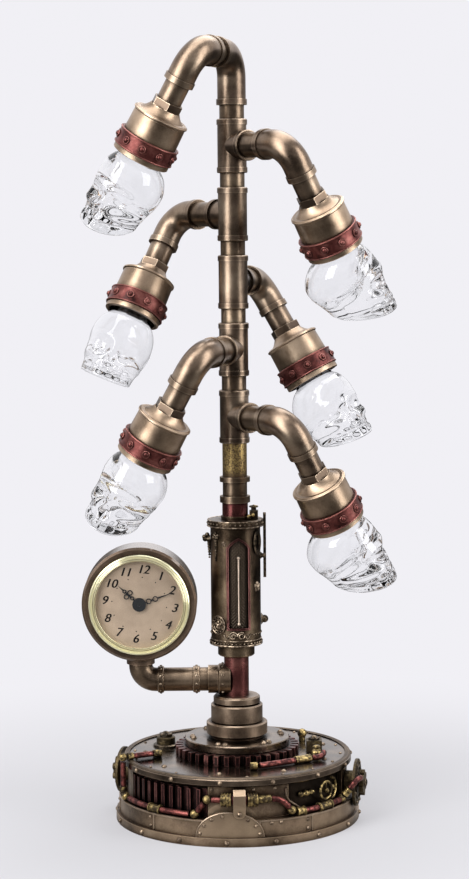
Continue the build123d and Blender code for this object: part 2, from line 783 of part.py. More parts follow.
# Column: plain lengths of pipe between the fittings, and the six branch pipes that the arms turn on
nipples = [
    pipe(level(red_sleeve_top), 0, sleeve_collar_height, stem_fit_radius, collar_radius),
    pipe(level(sleeve_collar_top), 0, bronze_sleeve_height, stem_fit_radius),
    pipe(level(bronze_sleeve_top), 0, gold_collar_height, stem_fit_radius, collar_radius)]
for height in branch_heights[2:]:
    gap = tee_pitch - 2 * tee_half_height
    nipples.append(pipe(level(height + tee_half_height), -socket_depth, gap + socket_depth))
nipples.append(pipe(level(top_elbow_foot), -top_nipple_length - socket_depth, socket_depth))
branch_end = arm_reach - elbow_leg + socket_depth - seat_gap
for azimuth, height in zip(branch_azimuths, branch_heights):
    reach = top_elbow_reach if height == top_branch_height else tee_leg
    nipples.append(pipe(outward(azimuth, 0, height), reach - socket_depth, branch_end))
write_group("column_nipples", *nipples)
gold_sleeve = pipe(level(gold_collar_top), 0, gold_sleeve_height + socket_depth, stem_fit_radius)
gold_sleeve.part.label = "gold_sleeve"
export_step(gold_sleeve.part, "parts/gold_sleeve.step")

# Arms: distances along the axis of the head, measured from the corner of its elbow
nut_start = elbow_leg + short_nipple_length
cup_start = nut_start + nut_height
ledge_start = cup_start + dome_height
cup_ceiling = ledge_start + cup_top_thickness
band_start = ledge_start + cup_body_height
bezel_start = band_start + band_height
bezel_end = bezel_start + bezel_height
cup_bore = cup_radius - cup_wall
ring_start = cup_ceiling + ring_depth
bead_start = ring_start - skull_bead_height
neck_bore = skull_neck_radius - glass_wall
for number, azimuth, height, side, turn in zip(
        range(1, len(branch_azimuths) + 1), branch_azimuths, branch_heights, lean_sides, skull_turns):
    branch = along(azimuth)
    lean = along(azimuth + 90 * side)
    axis = lean * sin(radians(head_lean)) - up * cos(radians(head_lean))
    face = lean * cos(radians(head_lean)) + up * sin(radians(head_lean))
    corner = branch * arm_reach + up * height
    head = Plane(origin=corner, x_dir=face, z_dir=axis)
    head_axis = axis_of(head)

    # Swivel elbow, short pipe and hexagon nut
    arm_elbow = elbow(corner, -branch, elbow_leg, axis, elbow_leg)
    arm_nipple = pipe(head, elbow_leg - socket_depth, cup_start + nipple_tip)
    with BuildPart() as arm_nut:
        with BuildSketch(head.offset(nut_start)):
            RegularPolygon(nut_width / 2, 6, major_radius=False)
            Circle(socket_radius, mode=Mode.SUBTRACT)
        extrude(amount=nut_height)
    write_group(f"arm_{number}_pipes", arm_elbow, arm_nipple, arm_nut)

    # Cup with its domed top and sharp lip, and the ring that closes it
    with BuildPart() as cup_shell:
        with BuildSketch(upright(head)):
            with BuildLine():
                Line((socket_radius, cup_start), (collar_radius, cup_start))
                RadiusArc((collar_radius, cup_start), (dome_radius, ledge_start), dome_curve)
                Polyline(
                    (dome_radius, ledge_start), (cup_radius - cup_lip_bevel, ledge_start),
                    (cup_lip_radius, ledge_start + cup_lip_bevel),
                    (cup_lip_radius, ledge_start + 2 * cup_lip_bevel),
                    (cup_radius - cup_waist, ledge_start + 3 * cup_lip_bevel), (cup_radius, band_start),
                    (cup_radius, bezel_start), (cup_bore, bezel_start), (cup_bore, cup_ceiling),
                    (socket_radius, cup_ceiling), (socket_radius, cup_start))
            make_face()
        revolve(axis=head_axis)
    with BuildPart() as cup_bezel:
        revolve(ring(head, cup_bore, bezel_radius, bezel_start, bezel_end, bevel=0.4), axis=head_axis)
    write_group(f"arm_{number}_cup", cup_shell, cup_bezel)

    # Red band with its studs
    stud_seat = head.offset(band_start + band_height / 2)
    with BuildPart() as band:
        revolve(ring(head, cup_radius + thread_clearance, band_radius, band_start, bezel_start), axis=head_axis)
        with Locations(stud_seat):
            with PolarLocations(band_radius - stud_sink, stud_count):
                Cone(stud_radius, stud_radius / 2, stud_height + stud_sink, rotation=(0, 90, 0), align=on_seat)
    band.part.label = f"arm_{number}_band"
    export_step(band.part, f"parts/arm_{number}_band.step")

    # Lampholder, its light and the ring that holds the glass
    with BuildPart() as holder:
        revolve(outline(head, [
            (0, cup_ceiling), (holder_flange_radius, cup_ceiling),
            (holder_flange_radius, cup_ceiling + holder_flange_height),
            (holder_radius, cup_ceiling + holder_flange_height), (holder_radius, light_start),
            (0, light_start)]),
            axis=head_axis)
    with BuildPart() as light:
        revolve(ring(head, 0, light_radius, light_start, light_start + light_length, bevel=light_radius / 3),
                axis=head_axis)
    with BuildPart() as shade_ring:
        revolve(ring(head, skull_neck_radius + ring_clearance, cup_bore - thread_clearance, ring_start,
                     ring_start + shade_ring_height), axis=head_axis)
    write_group(f"arm_{number}_lampholder", holder, light, shade_ring)

    # Glass skull: neck with its bead, cranium and jaw, eye sockets and nose
    skull_seat = Plane(
        origin=corner, x_dir=face * cos(radians(turn)) + axis.cross(face) * sin(radians(turn)), z_dir=axis)
    with BuildPart() as skull:
        with BuildSketch(skull_seat.offset(skull_start)):
            Circle(skull_neck_radius)
        for depth, forward, half_length, half_width in skull_sections:
            with BuildSketch(skull_seat.offset(skull_start + depth)):
                with Locations((forward, 0)):
                    Ellipse(half_length, half_width)
        loft()
        split(bisect_by=skull_seat.offset(skull_start + jaw_depth).rotated((0, jaw_tilt, 0)), keep=Keep.BOTTOM)
        revolve(outline(head, [
            (0, bead_start), (skull_bead_radius, bead_start), (skull_bead_radius, ring_start),
            (skull_neck_radius, ring_start), (skull_neck_radius, skull_start),
            (0, skull_start)]), axis=head_axis)
        with BuildSketch(skull_seat.offset(skull_start)):
            Circle(neck_bore)
        for depth, forward, half_length, half_width in cavity_sections:
            with BuildSketch(skull_seat.offset(skull_start + depth)):
                with Locations((forward, 0)):
                    Ellipse(half_length, half_width)
        loft(mode=Mode.SUBTRACT)
        with BuildSketch(head.offset(bead_start)):
            Circle(neck_bore)
        extrude(amount=skull_start - bead_start, mode=Mode.SUBTRACT)
        for sideways in (-eye_spacing, eye_spacing):
            with Locations(skull_seat.offset(skull_start + eye_depth)):
                with Locations((eye_forward, sideways)):
                    Sphere(eye_radius, mode=Mode.SUBTRACT)
        with Locations(skull_seat.offset(skull_start + nose_depth)):
            with Locations((nose_forward, 0)):
                Sphere(nose_radius, mode=Mode.SUBTRACT)
    skull.part.label = f"arm_{number}_skull"
    export_step(skull.part, f"parts/arm_{number}_skull.step")

# Clock: side pipe with its bell against the red pipe, two collars and the elbow under the case
clock_run = Plane(origin=(0, 0, clock_pipe_height), x_dir=(0, 0, 1), z_dir=(-1, 0, 0))
clock_foot = clock_pipe_height + clock_bend_radius + clock_pipe_rise
saddle = red_pipe_radius / 2
with BuildPart() as clock_pipe:
    with BuildSketch(clock_run.offset(saddle)):
        Circle(clock_pipe_radius)
    clock_route = elbow_path(
        clock_run.offset(saddle).origin, clock_run.offset(clock_offset).origin,
        Vector(-clock_offset, 0, clock_foot), clock_bend_radius)
    sweep(path=clock_route)
    revolve(outline(clock_run, [
        (0, saddle), (clock_bell_radius, saddle), (clock_bell_radius, clock_bell_length),
        (clock_cuff_radius, clock_bell_length + clock_bell_radius - clock_cuff_radius),
        (clock_cuff_radius, clock_cuff_end), (0, clock_cuff_end)]), axis=axis_of(clock_run))
    for low, high in clock_collars:
        revolve(ring(clock_run, 0, clock_collar_radius, low, high, bevel=0.5), axis=axis_of(clock_run))
    with BuildSketch(clock_run.offset(saddle)):
        Circle(clock_pipe_bore)
    sweep(path=clock_route, mode=Mode.SUBTRACT)
    with BuildSketch(level(foot_nut_top)):
        Circle(red_pipe_radius + thread_clearance)
    extrude(amount=red_pipe_length, mode=Mode.SUBTRACT)
clock_pipe.part.label = "clock_pipe"
export_step(clock_pipe.part, "parts/clock_pipe.step")

# Clock: drum-shaped case with the boss that stands on the pipe
clock_seat = Plane(origin=(-clock_offset, 0, clock_height), x_dir=(0, 0, 1), z_dir=(0, -1, 0))
clock_axis = axis_of(clock_seat)
with BuildPart() as clock_case:
    revolve(outline(clock_seat, [
        (0, -clock_back), (clock_radius - clock_edge, -clock_back), (clock_radius, clock_edge - clock_back),
        (clock_radius, clock_front - clock_edge), (clock_radius - clock_edge, clock_front), (0, clock_front)]),
        axis=clock_axis)
    with BuildSketch(Plane(origin=(-clock_offset, 0, clock_foot), z_dir=(0, 0, 1))):
        Circle(clock_cuff_radius)
    extrude(amount=clock_height - clock_foot)
    revolve(outline(clock_seat, [
        (0, clock_wall - clock_back), (clock_radius - clock_wall, clock_wall - clock_back),
        (clock_radius - clock_wall, clock_front - clock_wall), (insert_radius, clock_front - clock_wall),
        (insert_radius, clock_front), (0, clock_front)]), axis=clock_axis, mode=Mode.SUBTRACT)
clock_case.part.label = "clock_case"
export_step(clock_case.part, "parts/clock_case.step")

# Clock: polished bezel with the skirt that pushes into the case
bezel_skirt = insert_radius - insert_clearance
with BuildPart() as clock_bezel:
    revolve(outline(clock_seat, [
        (clock_bezel_inner, clock_front - dial_depth), (bezel_skirt, clock_front - dial_depth),
        (bezel_skirt, clock_front), (clock_bezel_radius, clock_front),
        (clock_bezel_radius, clock_front + clock_bezel_height * 0.5),
        (clock_bezel_radius - clock_bezel_height * 0.4, clock_front + clock_bezel_height),
        (clock_bezel_radius - clock_bezel_height, clock_front + clock_bezel_height),
        (clock_bezel_inner, clock_front + clock_bezel_height * 0.75)]), axis=clock_axis)
clock_bezel.part.label = "clock_bezel"
export_step(clock_bezel.part, "parts/clock_bezel.step")

# Clock: dial, the movement behind it and the pin that the hands turn on
dial_face = clock_front - dial_depth
with BuildPart() as clock_dial:
    revolve(outline(clock_seat, [
        (0, dial_face - dial_thickness - movement_depth),
        (movement_radius, dial_face - dial_thickness - movement_depth),
        (movement_radius, dial_face - dial_thickness), (bezel_skirt, dial_face - dial_thickness),
        (bezel_skirt, dial_face), (arbor_radius, dial_face), (arbor_radius, dial_face + arbor_length),
        (0, dial_face + arbor_length)]), axis=clock_axis)
clock_dial.part.label = "clock_dial"
export_step(clock_dial.part, "parts/clock_dial.step")

# Clock: flat glass inside the bezel
glass_face = clock_front + clock_bezel_height * 0.75
with BuildPart() as clock_glass:
    with BuildSketch(clock_seat.offset(glass_face - glass_thickness)):
        Circle(clock_bezel_inner - insert_clearance)
    extrude(amount=glass_thickness)
clock_glass.part.label = "clock_glass"
export_step(clock_glass.part, "parts/clock_glass.step")


def hand_plane(angle, gap):
    """Plane of a hand that points to an angle clockwise from upright, at a gap above the dial."""
    pointing = Vector(sin(radians(angle)), 0, cos(radians(angle)))
    return Plane(origin=clock_seat.offset(dial_face + gap).origin, x_dir=pointing, z_dir=clock_seat.z_dir)


def hand(plane, length, hub_radius, hub_height, rings):
    """Pierced hand with open rings along its stem and a pointed tip."""
    last = max(place for place, _, _ in rings)
    with BuildPart() as piece:
        with BuildSketch(plane):
            with Locations((last / 2, 0)):
                Rectangle(last, hand_stem_width)
            with BuildLine():
                Polyline((last, -hand_tip_width / 2), (length, 0), (last, hand_tip_width / 2), close=True)
            make_face()
            for place, sideways, radius in rings:
                with Locations((place, sideways)):
                    Circle(radius)
            for place, sideways, radius in rings:
                with Locations((place, sideways)):
                    Circle(radius - ring_wall, mode=Mode.SUBTRACT)
        extrude(amount=hand_thickness)
        with BuildSketch(plane):
            Circle(hub_radius)
        extrude(amount=hub_height)
        with BuildSketch(plane):
            Circle(arbor_radius + running_clearance)
        extrude(amount=hub_height, mode=Mode.SUBTRACT)
    return piece


minute_angle = dial_turn + 6 * shown_minute
hour_angle = dial_turn + 30 * shown_hour + shown_minute / 2
clock_hour_hand = hand(
    hand_plane(hour_angle, hour_hand_gap), hour_hand_length, hour_hub_radius, hand_thickness, hour_rings)
clock_hour_hand.part.label = "clock_hour_hand"
export_step(clock_hour_hand.part, "parts/clock_hour_hand.step")
clock_minute_hand = hand(
    hand_plane(minute_angle, minute_hand_gap), minute_hand_length, minute_hub_radius, minute_cap_height,
    minute_rings)
clock_minute_hand.part.label = "clock_minute_hand"
export_step(clock_minute_hand.part, "parts/clock_minute_hand.step")


def spot(azimuth, radius, height):
    """Point at an azimuth, a radius and a height."""
    return along(azimuth) * radius + up * height


def tube(radius, *points):
    """Round bar from point to point, straight through two points or on an arc through three."""
    with BuildLine() as route:
        if len(points) == 2:
            Line(*points)
        else:
            ThreePointArc(*points)
    with BuildPart() as bar:
        with BuildSketch(Plane(origin=route.line @ 0, z_dir=route.line % 0)):
            Circle(radius)
        sweep(path=route.line)
    return bar


def ledge_run(radius, start, end):
    """Bar that lies along the ledge between two azimuths."""
    height = skirt_top + union_radius
    return tube(radius, *(spot(azimuth, ledge_line, height) for azimuth in (start, (start + end) / 2, end)))


def front_run(radius, start, end):
    """Bar across the front panel between two azimuths."""
    return tube(radius, spot(start, front_line, front_height), spot(end, front_line, front_height))


def ball(centre):
    """Corner fitting of the pipework."""
    with BuildPart() as corner_ball:
        with Locations(centre):
            Sphere(corner_radius)
    return corner_ball


def wall_spot(azimuth, offset, rise):
    """Point off the wall of the base, above the ledge."""
    return spot(azimuth, wall_radius + offset, skirt_top + rise)


# Base: red tubes of the pipework
ledge_height = skirt_top + union_radius
corner_height = skirt_top + corner_radius
plate_height = plate_top + plate_line
riser_top = plate_height - corner_radius - seat_gap
step_foot = spot(step_azimuths[0], ledge_line, corner_height)
step_head = spot(step_azimuths[1], front_line, front_height)
step_end = (step_head - step_foot).normalized() * (corner_radius + seat_gap)
pipework_tubes = [
    tube(tube_radius, *(spot(azimuth, top_plate_radius - setback, plate_height)
                        for azimuth, setback in zip(inlet_azimuths, inlet_setbacks))),
    tube(tube_radius, spot(riser_azimuth, rim_line, riser_top), spot(riser_azimuth, rim_line, riser_foot)),
    *(ledge_run(tube_radius, start, end) for start, end in ledge_tubes),
    tube(tube_radius, step_foot + step_end, step_head - step_end),
    front_run(tube_radius, *front_tube),
    front_run(clamped_radius, *clamped_tube),
    tube(tube_radius, *(spot(azimuth, front_line, front_height - drop)
                        for azimuth, drop in zip(slope_azimuths, slope_drops))),
    tube(tube_radius, *(wall_spot(*place) for place in end_tube)),
    tube(tube_radius, *(Vector(x, y, plate_height) for x, y in plate_tube)),
    tube(tube_radius, *(Vector(x, y, plate_height + rise) for (x, y), rise in zip(plate_bend, plate_bend_rises)))]
write_group("pipework_tubes", *pipework_tubes)

# Base: brass nuts, corners and couplings that join the tubes
inlet_start = spot(inlet_azimuths[0], top_plate_radius - inlet_setbacks[0] - seat_gap, plate_height)
inlet_end = spot(inlet_azimuths[1], top_plate_radius - inlet_setbacks[1] + seat_gap, plate_height)
riser_corner = spot(riser_azimuth, rim_line, plate_height)
pipework_unions = [
    tube(union_radius, spot(*inlet_nut, plate_height), inlet_start),
    tube(union_radius, inlet_end, riser_corner - along(riser_azimuth) * (corner_radius + seat_gap)),
    ball(riser_corner),
    tube(union_radius, spot(riser_azimuth, rim_line, riser_foot - seat_gap),
         spot(riser_azimuth, rim_line, corner_height + corner_radius + seat_gap)),
    ball(spot(riser_azimuth + corner_turn, ledge_line + corner_radius / 2, corner_height)),
    *(ledge_run(union_radius, start, end) for start, end in ledge_unions),
    ball(step_foot),
    ball(step_head),
    *(front_run(coupling_radius, start, end) for start, end in front_couplings),
    front_run(union_radius, *front_union),
    ball(spot(slope_corner, ledge_line, corner_height + slope_rise)),
    ball(spot(end_corner, ledge_line, corner_height)),
    tube(union_radius, *(wall_spot(*place) for place in end_union)),
    *(tube(union_radius, Vector(*start, plate_height), Vector(*end, plate_height))
      for start, end in plate_unions)]

# Base: drum, ball and box valves on the top plate, handwheel in the right window, round valves at the sides
with BuildPart() as drum_valve:
    revolve(ring(
        Plane(origin=spot(*drum_place, plate_top), z_dir=up), 0, drum_size[0], 0, drum_size[1], bevel=0.8),
            axis=Axis(spot(*drum_place, 0), up))
with BuildPart() as ball_valve:
    with Locations(spot(*ball_place, plate_top)):
        Cylinder(ball_radius * 0.7, ball_radius, align=on_seat)
    with Locations(spot(*ball_place, plate_top + ball_radius * 1.6)):
        Sphere(ball_radius)
with BuildPart() as box_valve:
    with Locations(spot(*box_place, plate_top)):
        Box(*box_size, align=on_seat)
handwheel_seat = outward(handwheel_azimuth, handwheel_line, handwheel_height)
with BuildPart() as handwheel:
    with Locations(handwheel_seat):
        Torus(handwheel_radius, handwheel_rim)
        Cylinder(handwheel_rim * 2, handwheel_rim * 2)
    for i in range(3):
        spoke = handwheel_seat.rotated((0, 0, 90 + 120 * i))
        with BuildSketch(Plane(origin=handwheel_seat.origin, z_dir=spoke.x_dir)):
            Circle(handwheel_rim * 0.6)
        extrude(amount=handwheel_radius)
    with BuildSketch(handwheel_seat):
        Circle(handwheel_rim)
    extrude(amount=core_radius - handwheel_line)
side_valves = []
for azimuth in side_valve_azimuths:
    boss = outward(azimuth, 0, side_valve_height)
    with BuildPart() as side_valve:
        with BuildSketch(boss.offset(wall_radius + finial_gap)):
            Circle(side_boss_radius)
        extrude(amount=side_disc_line - wall_radius - finial_gap)
        with BuildSketch(boss.offset(side_disc_line)):
            Circle(side_disc_radius)
        extrude(amount=side_disc_thickness)
        with BuildSketch(boss.offset(side_disc_line + side_disc_thickness)):
            Circle(star_radius * 0.4)
        extrude(amount=star_gap)
        with BuildSketch(boss.offset(side_disc_line + side_disc_thickness + star_gap)):
            Circle(star_radius)
            with PolarLocations(star_radius, star_lobes):
                Circle(star_lobe)
        extrude(amount=star_height)
    side_valves.append(side_valve)
write_group("base_valves", *pipework_unions, drum_valve, ball_valve, box_valve, handwheel, *side_valves)

# Base: cord exit and push switch at the back
with BuildPart() as cord_gland:
    gland_seat = outward(gland_azimuth, 0, rear_height)
    revolve(outline(gland_seat, [
        (gland_bore_radius, core_radius - core_wall), (gland_neck_radius, core_radius - core_wall),
        (gland_neck_radius, wall_radius + finial_gap), (gland_flange_radius, wall_radius + finial_gap),
        (gland_flange_radius - 1, wall_radius + gland_flange_height),
        (gland_bore_radius, wall_radius + gland_flange_height)]), axis=axis_of(gland_seat))
cord_gland.part.label = "cord_gland"
export_step(cord_gland.part, "parts/cord_gland.step")
switch_seat = outward(switch_azimuth, 0, rear_height)
switch_face = wall_radius + switch_bezel_height
button_fit = button_radius + running_clearance
with BuildPart() as switch_body:
    revolve(outline(switch_seat, [
        (0, switch_face - switch_body_length), (switch_body_radius, switch_face - switch_body_length),
        (switch_body_radius, wall_radius + finial_gap), (switch_bezel_radius, wall_radius + finial_gap),
        (switch_bezel_radius - 0.6, switch_face), (button_fit, switch_face),
        (button_fit, switch_face - button_length + button_proud - button_travel - seat_gap),
        (0, switch_face - button_length + button_proud - button_travel - seat_gap)]), axis=axis_of(switch_seat))
switch_body.part.label = "switch_body"
export_step(switch_body.part, "parts/switch_body.step")
with BuildPart() as switch_button:
    revolve(ring(switch_seat, 0, button_radius, switch_face - button_length + button_proud,
                 switch_face + button_proud, bevel=0.6), axis=axis_of(switch_seat))
switch_button.part.label = "switch_button"
export_step(switch_button.part, "parts/switch_button.step")
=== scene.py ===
"""Looks of the pipe lamp: camera, stage, finishes, glass skulls and the fine cast pieces.

Pieces are laid out in millimetres, in the frame of the solids, and their meshes are scaled to metres.
Places and reaches inside the finishes are in metres. Azimuths are in degrees, and -90 faces the camera.
"""

import json
from math import cos, exp, pi, radians, sin, sqrt

import bmesh
import bpy
from mathutils import Matrix, Vector


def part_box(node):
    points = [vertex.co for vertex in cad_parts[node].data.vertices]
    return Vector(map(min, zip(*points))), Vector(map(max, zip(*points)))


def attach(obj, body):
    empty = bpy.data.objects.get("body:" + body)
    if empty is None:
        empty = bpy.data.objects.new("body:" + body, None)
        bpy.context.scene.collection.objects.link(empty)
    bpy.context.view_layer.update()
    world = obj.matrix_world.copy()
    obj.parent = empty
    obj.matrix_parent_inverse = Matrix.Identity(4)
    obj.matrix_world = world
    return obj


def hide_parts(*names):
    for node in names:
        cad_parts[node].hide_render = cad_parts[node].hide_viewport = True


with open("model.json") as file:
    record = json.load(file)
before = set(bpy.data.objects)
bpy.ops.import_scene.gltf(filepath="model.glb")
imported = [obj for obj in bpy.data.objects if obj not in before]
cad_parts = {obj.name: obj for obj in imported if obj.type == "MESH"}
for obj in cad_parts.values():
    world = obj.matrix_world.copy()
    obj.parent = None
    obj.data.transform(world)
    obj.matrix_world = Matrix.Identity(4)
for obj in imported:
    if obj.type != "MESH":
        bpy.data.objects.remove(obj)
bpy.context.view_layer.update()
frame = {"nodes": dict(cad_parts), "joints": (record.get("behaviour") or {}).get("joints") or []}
mm = 0.001
up = Vector((0, 0, 1))
scene = bpy.context.scene

# Camera, at the distance and tilt that the photograph shows
camera_distance = 1.5723
camera_height = 0.4235
camera_tilt = 5.67
camera_roll = 0.5
camera_lens = 92.6
sensor_height = 36.0

lens = bpy.data.cameras.new("camera")
lens.sensor_fit = "VERTICAL"
lens.sensor_height = sensor_height
lens.lens = camera_lens
camera = bpy.data.objects.new("camera", lens)
scene.collection.objects.link(camera)
camera.matrix_world = (
    Matrix.Translation((0, -camera_distance, camera_height))
    @ Matrix.Rotation(radians(90 - camera_tilt), 4, "X")
    @ Matrix.Rotation(radians(-camera_roll), 4, "Z"))
scene.camera = camera
scene.view_settings.view_transform = "Standard"


class Wire:
    """One output of a node. Arithmetic on values adds Math nodes."""

    def __init__(self, board, socket):
        self.board = board
        self.socket = socket

    def __add__(self, other):
        return self.board.maths("ADD", self, other)

    def __sub__(self, other):
        return self.board.maths("SUBTRACT", self, other)

    def __rsub__(self, other):
        return self.board.maths("SUBTRACT", other, self)

    def __mul__(self, other):
        return self.board.maths("MULTIPLY", self, other)

    __radd__ = __add__
    __rmul__ = __mul__


class Board:
    """The nodes of one material or of the world."""

    probe_rays = 4

    def __init__(self, tree):
        self.tree = tree
        tree.nodes.clear()

    def node(self, kind, settings=None, inputs=None, output=0):
        """Node with its settings, then the values or wires of its sockets. Gives one of its outputs."""
        made = self.tree.nodes.new(kind)
        for name, value in (settings or {}).items():
            if name == "stops":
                self.set_stops(made.color_ramp, value)
            else:
                setattr(made, name, value)
        for name, value in (inputs or {}).items():
            socket = made.inputs[name]
            if isinstance(value, Wire):
                self.tree.links.new(value.socket, socket)
            elif socket.type == "RGBA":
                socket.default_value = (*value[:3], 1.0)
            else:
                socket.default_value = value
        return Wire(self, made.outputs[output]) if made.outputs else None

    def set_stops(self, ramp, stops):
        while len(ramp.elements) < len(stops):
            ramp.elements.new(1.0)
        for element, (place, colour) in zip(ramp.elements, stops):
            element.position = place
            element.color = (*colour[:3], 1.0)

    def maths(self, operation, *values):
        return self.node("ShaderNodeMath", {"operation": operation}, dict(enumerate(values)))

    def vectors(self, operation, first, second=(0, 0, 0), output="Value"):
        """Vector Math, for a length, a distance, a product or a difference."""
        return self.node("ShaderNodeVectorMath", {"operation": operation}, {0: first, 1: second}, output)

    def along(self, axis, vector):
        return self.node("ShaderNodeSeparateXYZ", None, {"Vector": vector}, axis)

    def ray(self, kind):
        """1 for Camera, Transmission or Glossy rays."""
        return self.node("ShaderNodeLightPath", output=f"Is {kind} Ray")

    def mix(self, share, first, second, way="MIX"):
        settings = {"data_type": "RGBA", "blend_type": way}
        return self.node("ShaderNodeMix", settings, {0: share, 6: first, 7: second}, output=2)

    def ramp(self, share, *stops):
        return self.node("ShaderNodeValToRGB", {"stops": stops}, {"Fac": share})

    def place(self, stretch=(1, 1, 1), turn=(0, 0, 0)):
        """Place on the object, squeezed along its axes."""
        spot = self.node("ShaderNodeTexCoord", output="Object")
        return self.node("ShaderNodeMapping", None, {"Vector": spot, "Rotation": turn, "Scale": stretch})

    def clouds(self, place, scale, detail=3.0, roughness=0.55):
        """Soft noise around one half."""
        inputs = {"Vector": place, "Scale": scale, "Detail": detail, "Roughness": roughness}
        return self.node("ShaderNodeTexNoise", None, inputs)

    def step(self, value, start, end):
        """Share that goes from 0 at the start to 1 at the end."""
        inputs = {"Value": value, "From Min": start, "From Max": end}
        return self.node("ShaderNodeMapRange", {"interpolation_type": "SMOOTHSTEP"}, inputs)

    def edge(self, radius):
        """How sharply the surface turns within a radius, 0 on flat faces."""
        rounded = self.node("ShaderNodeBevel", {"samples": self.probe_rays}, {"Radius": radius})
        real = self.node("ShaderNodeNewGeometry", output="Normal")
        return 1.0 - self.vectors("DOT_PRODUCT", rounded, real)

    def hollow(self, distance):
        """Share of open air close to the surface, low in corners."""
        settings = {"samples": self.probe_rays}
        return self.node("ShaderNodeAmbientOcclusion", settings, {"Distance": distance}, output="AO")

    def bump(self, height, strength, distance):
        return self.node("ShaderNodeBump", None, {"Height": height, "Strength": strength, "Distance": distance})


class Finish(Board):
    """A material."""

    def __init__(self, name):
        self.material = bpy.data.materials.new(name)
        self.material.use_nodes = True
        super().__init__(self.material.node_tree)

    def surface(self, inputs):
        shader = self.node("ShaderNodeBsdfPrincipled", None, inputs)
        self.node("ShaderNodeOutputMaterial", None, {"Surface": shader})
        return self.material


# Stage: pale paper all round for the camera, a softer view of it behind the glass, and for the metal a studio
# that is dim in front and low down
paper = (0.879, 0.871, 0.912)
studio_dim = (0.07, 0.065, 0.06)
studio_bright = (1.1, 1.09, 1.12)
studio_light = (0.42, 0.42, 0.44)
studio_rise = 0.16
studio_front = 0.4
world = bpy.data.worlds.new("studio")
world.use_nodes = True
scene.world = world
board = Board(world.node_tree)
direction = board.node("ShaderNodeTexCoord", output="Generated")
depth = board.along("Y", direction)
rise = board.step(board.along("Z", direction), 0.0, studio_rise)
behind = board.step(depth, -0.5, 0.7)
mirror_view = board.mix(rise * (studio_front + behind * (1.0 - studio_front)), studio_dim, studio_bright)
glass_view = board.ramp(
    depth * 0.5 + 0.5,
    (0.0, (0.5, 0.5, 0.52)), (0.4, (0.64, 0.64, 0.665)), (0.66, (0.82, 0.815, 0.85)), (1.0, paper))
sky = board.mix(board.ray("Glossy"), studio_light, mirror_view)
sky = board.mix(board.ray("Transmission"), sky, glass_view)
sky = board.mix(board.ray("Camera"), sky, paper)
board.node("ShaderNodeOutputWorld", None, {"Surface": board.node("ShaderNodeBackground", None, {"Color": sky})})

# Floor: glows in the paper's colour, with a matt share near the lamp that takes its shadow
floor_light = (0.3, 0.3, 0.31)
floor_mirrored_far = (0.07, 0.064, 0.06)
floor_mirrored_near = (0.5, 0.48, 0.465)
floor_matt = (0.36, 0.358, 0.37)
shadow_share = 0.55
near_reach = 0.1
far_reach = 0.5
board = Finish("floor_paper")
reach = board.vectors("LENGTH", board.node("ShaderNodeTexCoord", output="Object"))
near = board.step(reach, far_reach, near_reach)
mirrored = board.ray("Glossy")
# Painted pool of light: seen in the metal, the floor glows brighter near the lamp and dim far off
bounced = board.mix(near, floor_mirrored_far, floor_mirrored_near)
glow = board.mix(mirrored, floor_light, bounced)
glow = board.mix(board.maths("MAXIMUM", board.ray("Camera"), board.ray("Transmission")), glow, paper)
glow = board.node("ShaderNodeEmission", None, {"Color": glow})
matt = board.node("ShaderNodeBsdfDiffuse", None, {"Color": floor_matt})
share = near * shadow_share * (1.0 - mirrored)
board.node("ShaderNodeOutputMaterial", None, {
    "Surface": board.node("ShaderNodeMixShader", None, {0: share, 1: glow, 2: matt})})
floor_side = 3
floor_back = 4
floor_mesh = bpy.data.meshes.new("floor")
floor_mesh.from_pydata([
    (-floor_side, -floor_side, 0), (floor_side, -floor_side, 0), (floor_side, floor_back, 0),
    (-floor_side, floor_back, 0)], [], [(0, 1, 2, 3)])
floor_mesh.materials.append(board.material)
floor = bpy.data.objects.new("floor", floor_mesh)
scene.collection.objects.link(floor)

# Lights: tall soft boxes, a large one at the left front, a weaker one at the right and one above
lit_point = Vector((0, 0, 0.28))
box_width_share = 0.6
box_height_share = 1.6
for name, place, size, power in (
        ("left_box", (-0.95, -0.95, 0.95), 1.4, 38.0), ("right_box", (1.15, -0.5, 0.6), 1.1, 18.0),
        ("top_box", (0.1, 0.25, 1.5), 1.3, 21.0)):
    light = bpy.data.lights.new(name, "AREA")
    light.shape = "RECTANGLE"
    light.size = size * box_width_share
    light.size_y = size * box_height_share
    light.energy = power
    holder = bpy.data.objects.new(name, light)
    scene.collection.objects.link(holder)
    holder.location = place
    holder.visible_transmission = False
    holder.rotation_euler = (lit_point - Vector(place)).to_track_quat("-Z", "Y").to_euler()

# What every metal shares: grain, width of worn edges with a painted highlight, corner grime and painted shade
metal_grain = 1300.0
edge_width = 0.001
edge_wear_and_highlight_gain = 1.35
corner_width = 0.005
corner_grime_and_shade = (0.08, 0.06, 0.05)
polish_and_highlight_share = 0.6
polish_and_highlight_border = 0.0006
belt_share = 0.8
belt_border = 0.0002
belt_end = 0.001


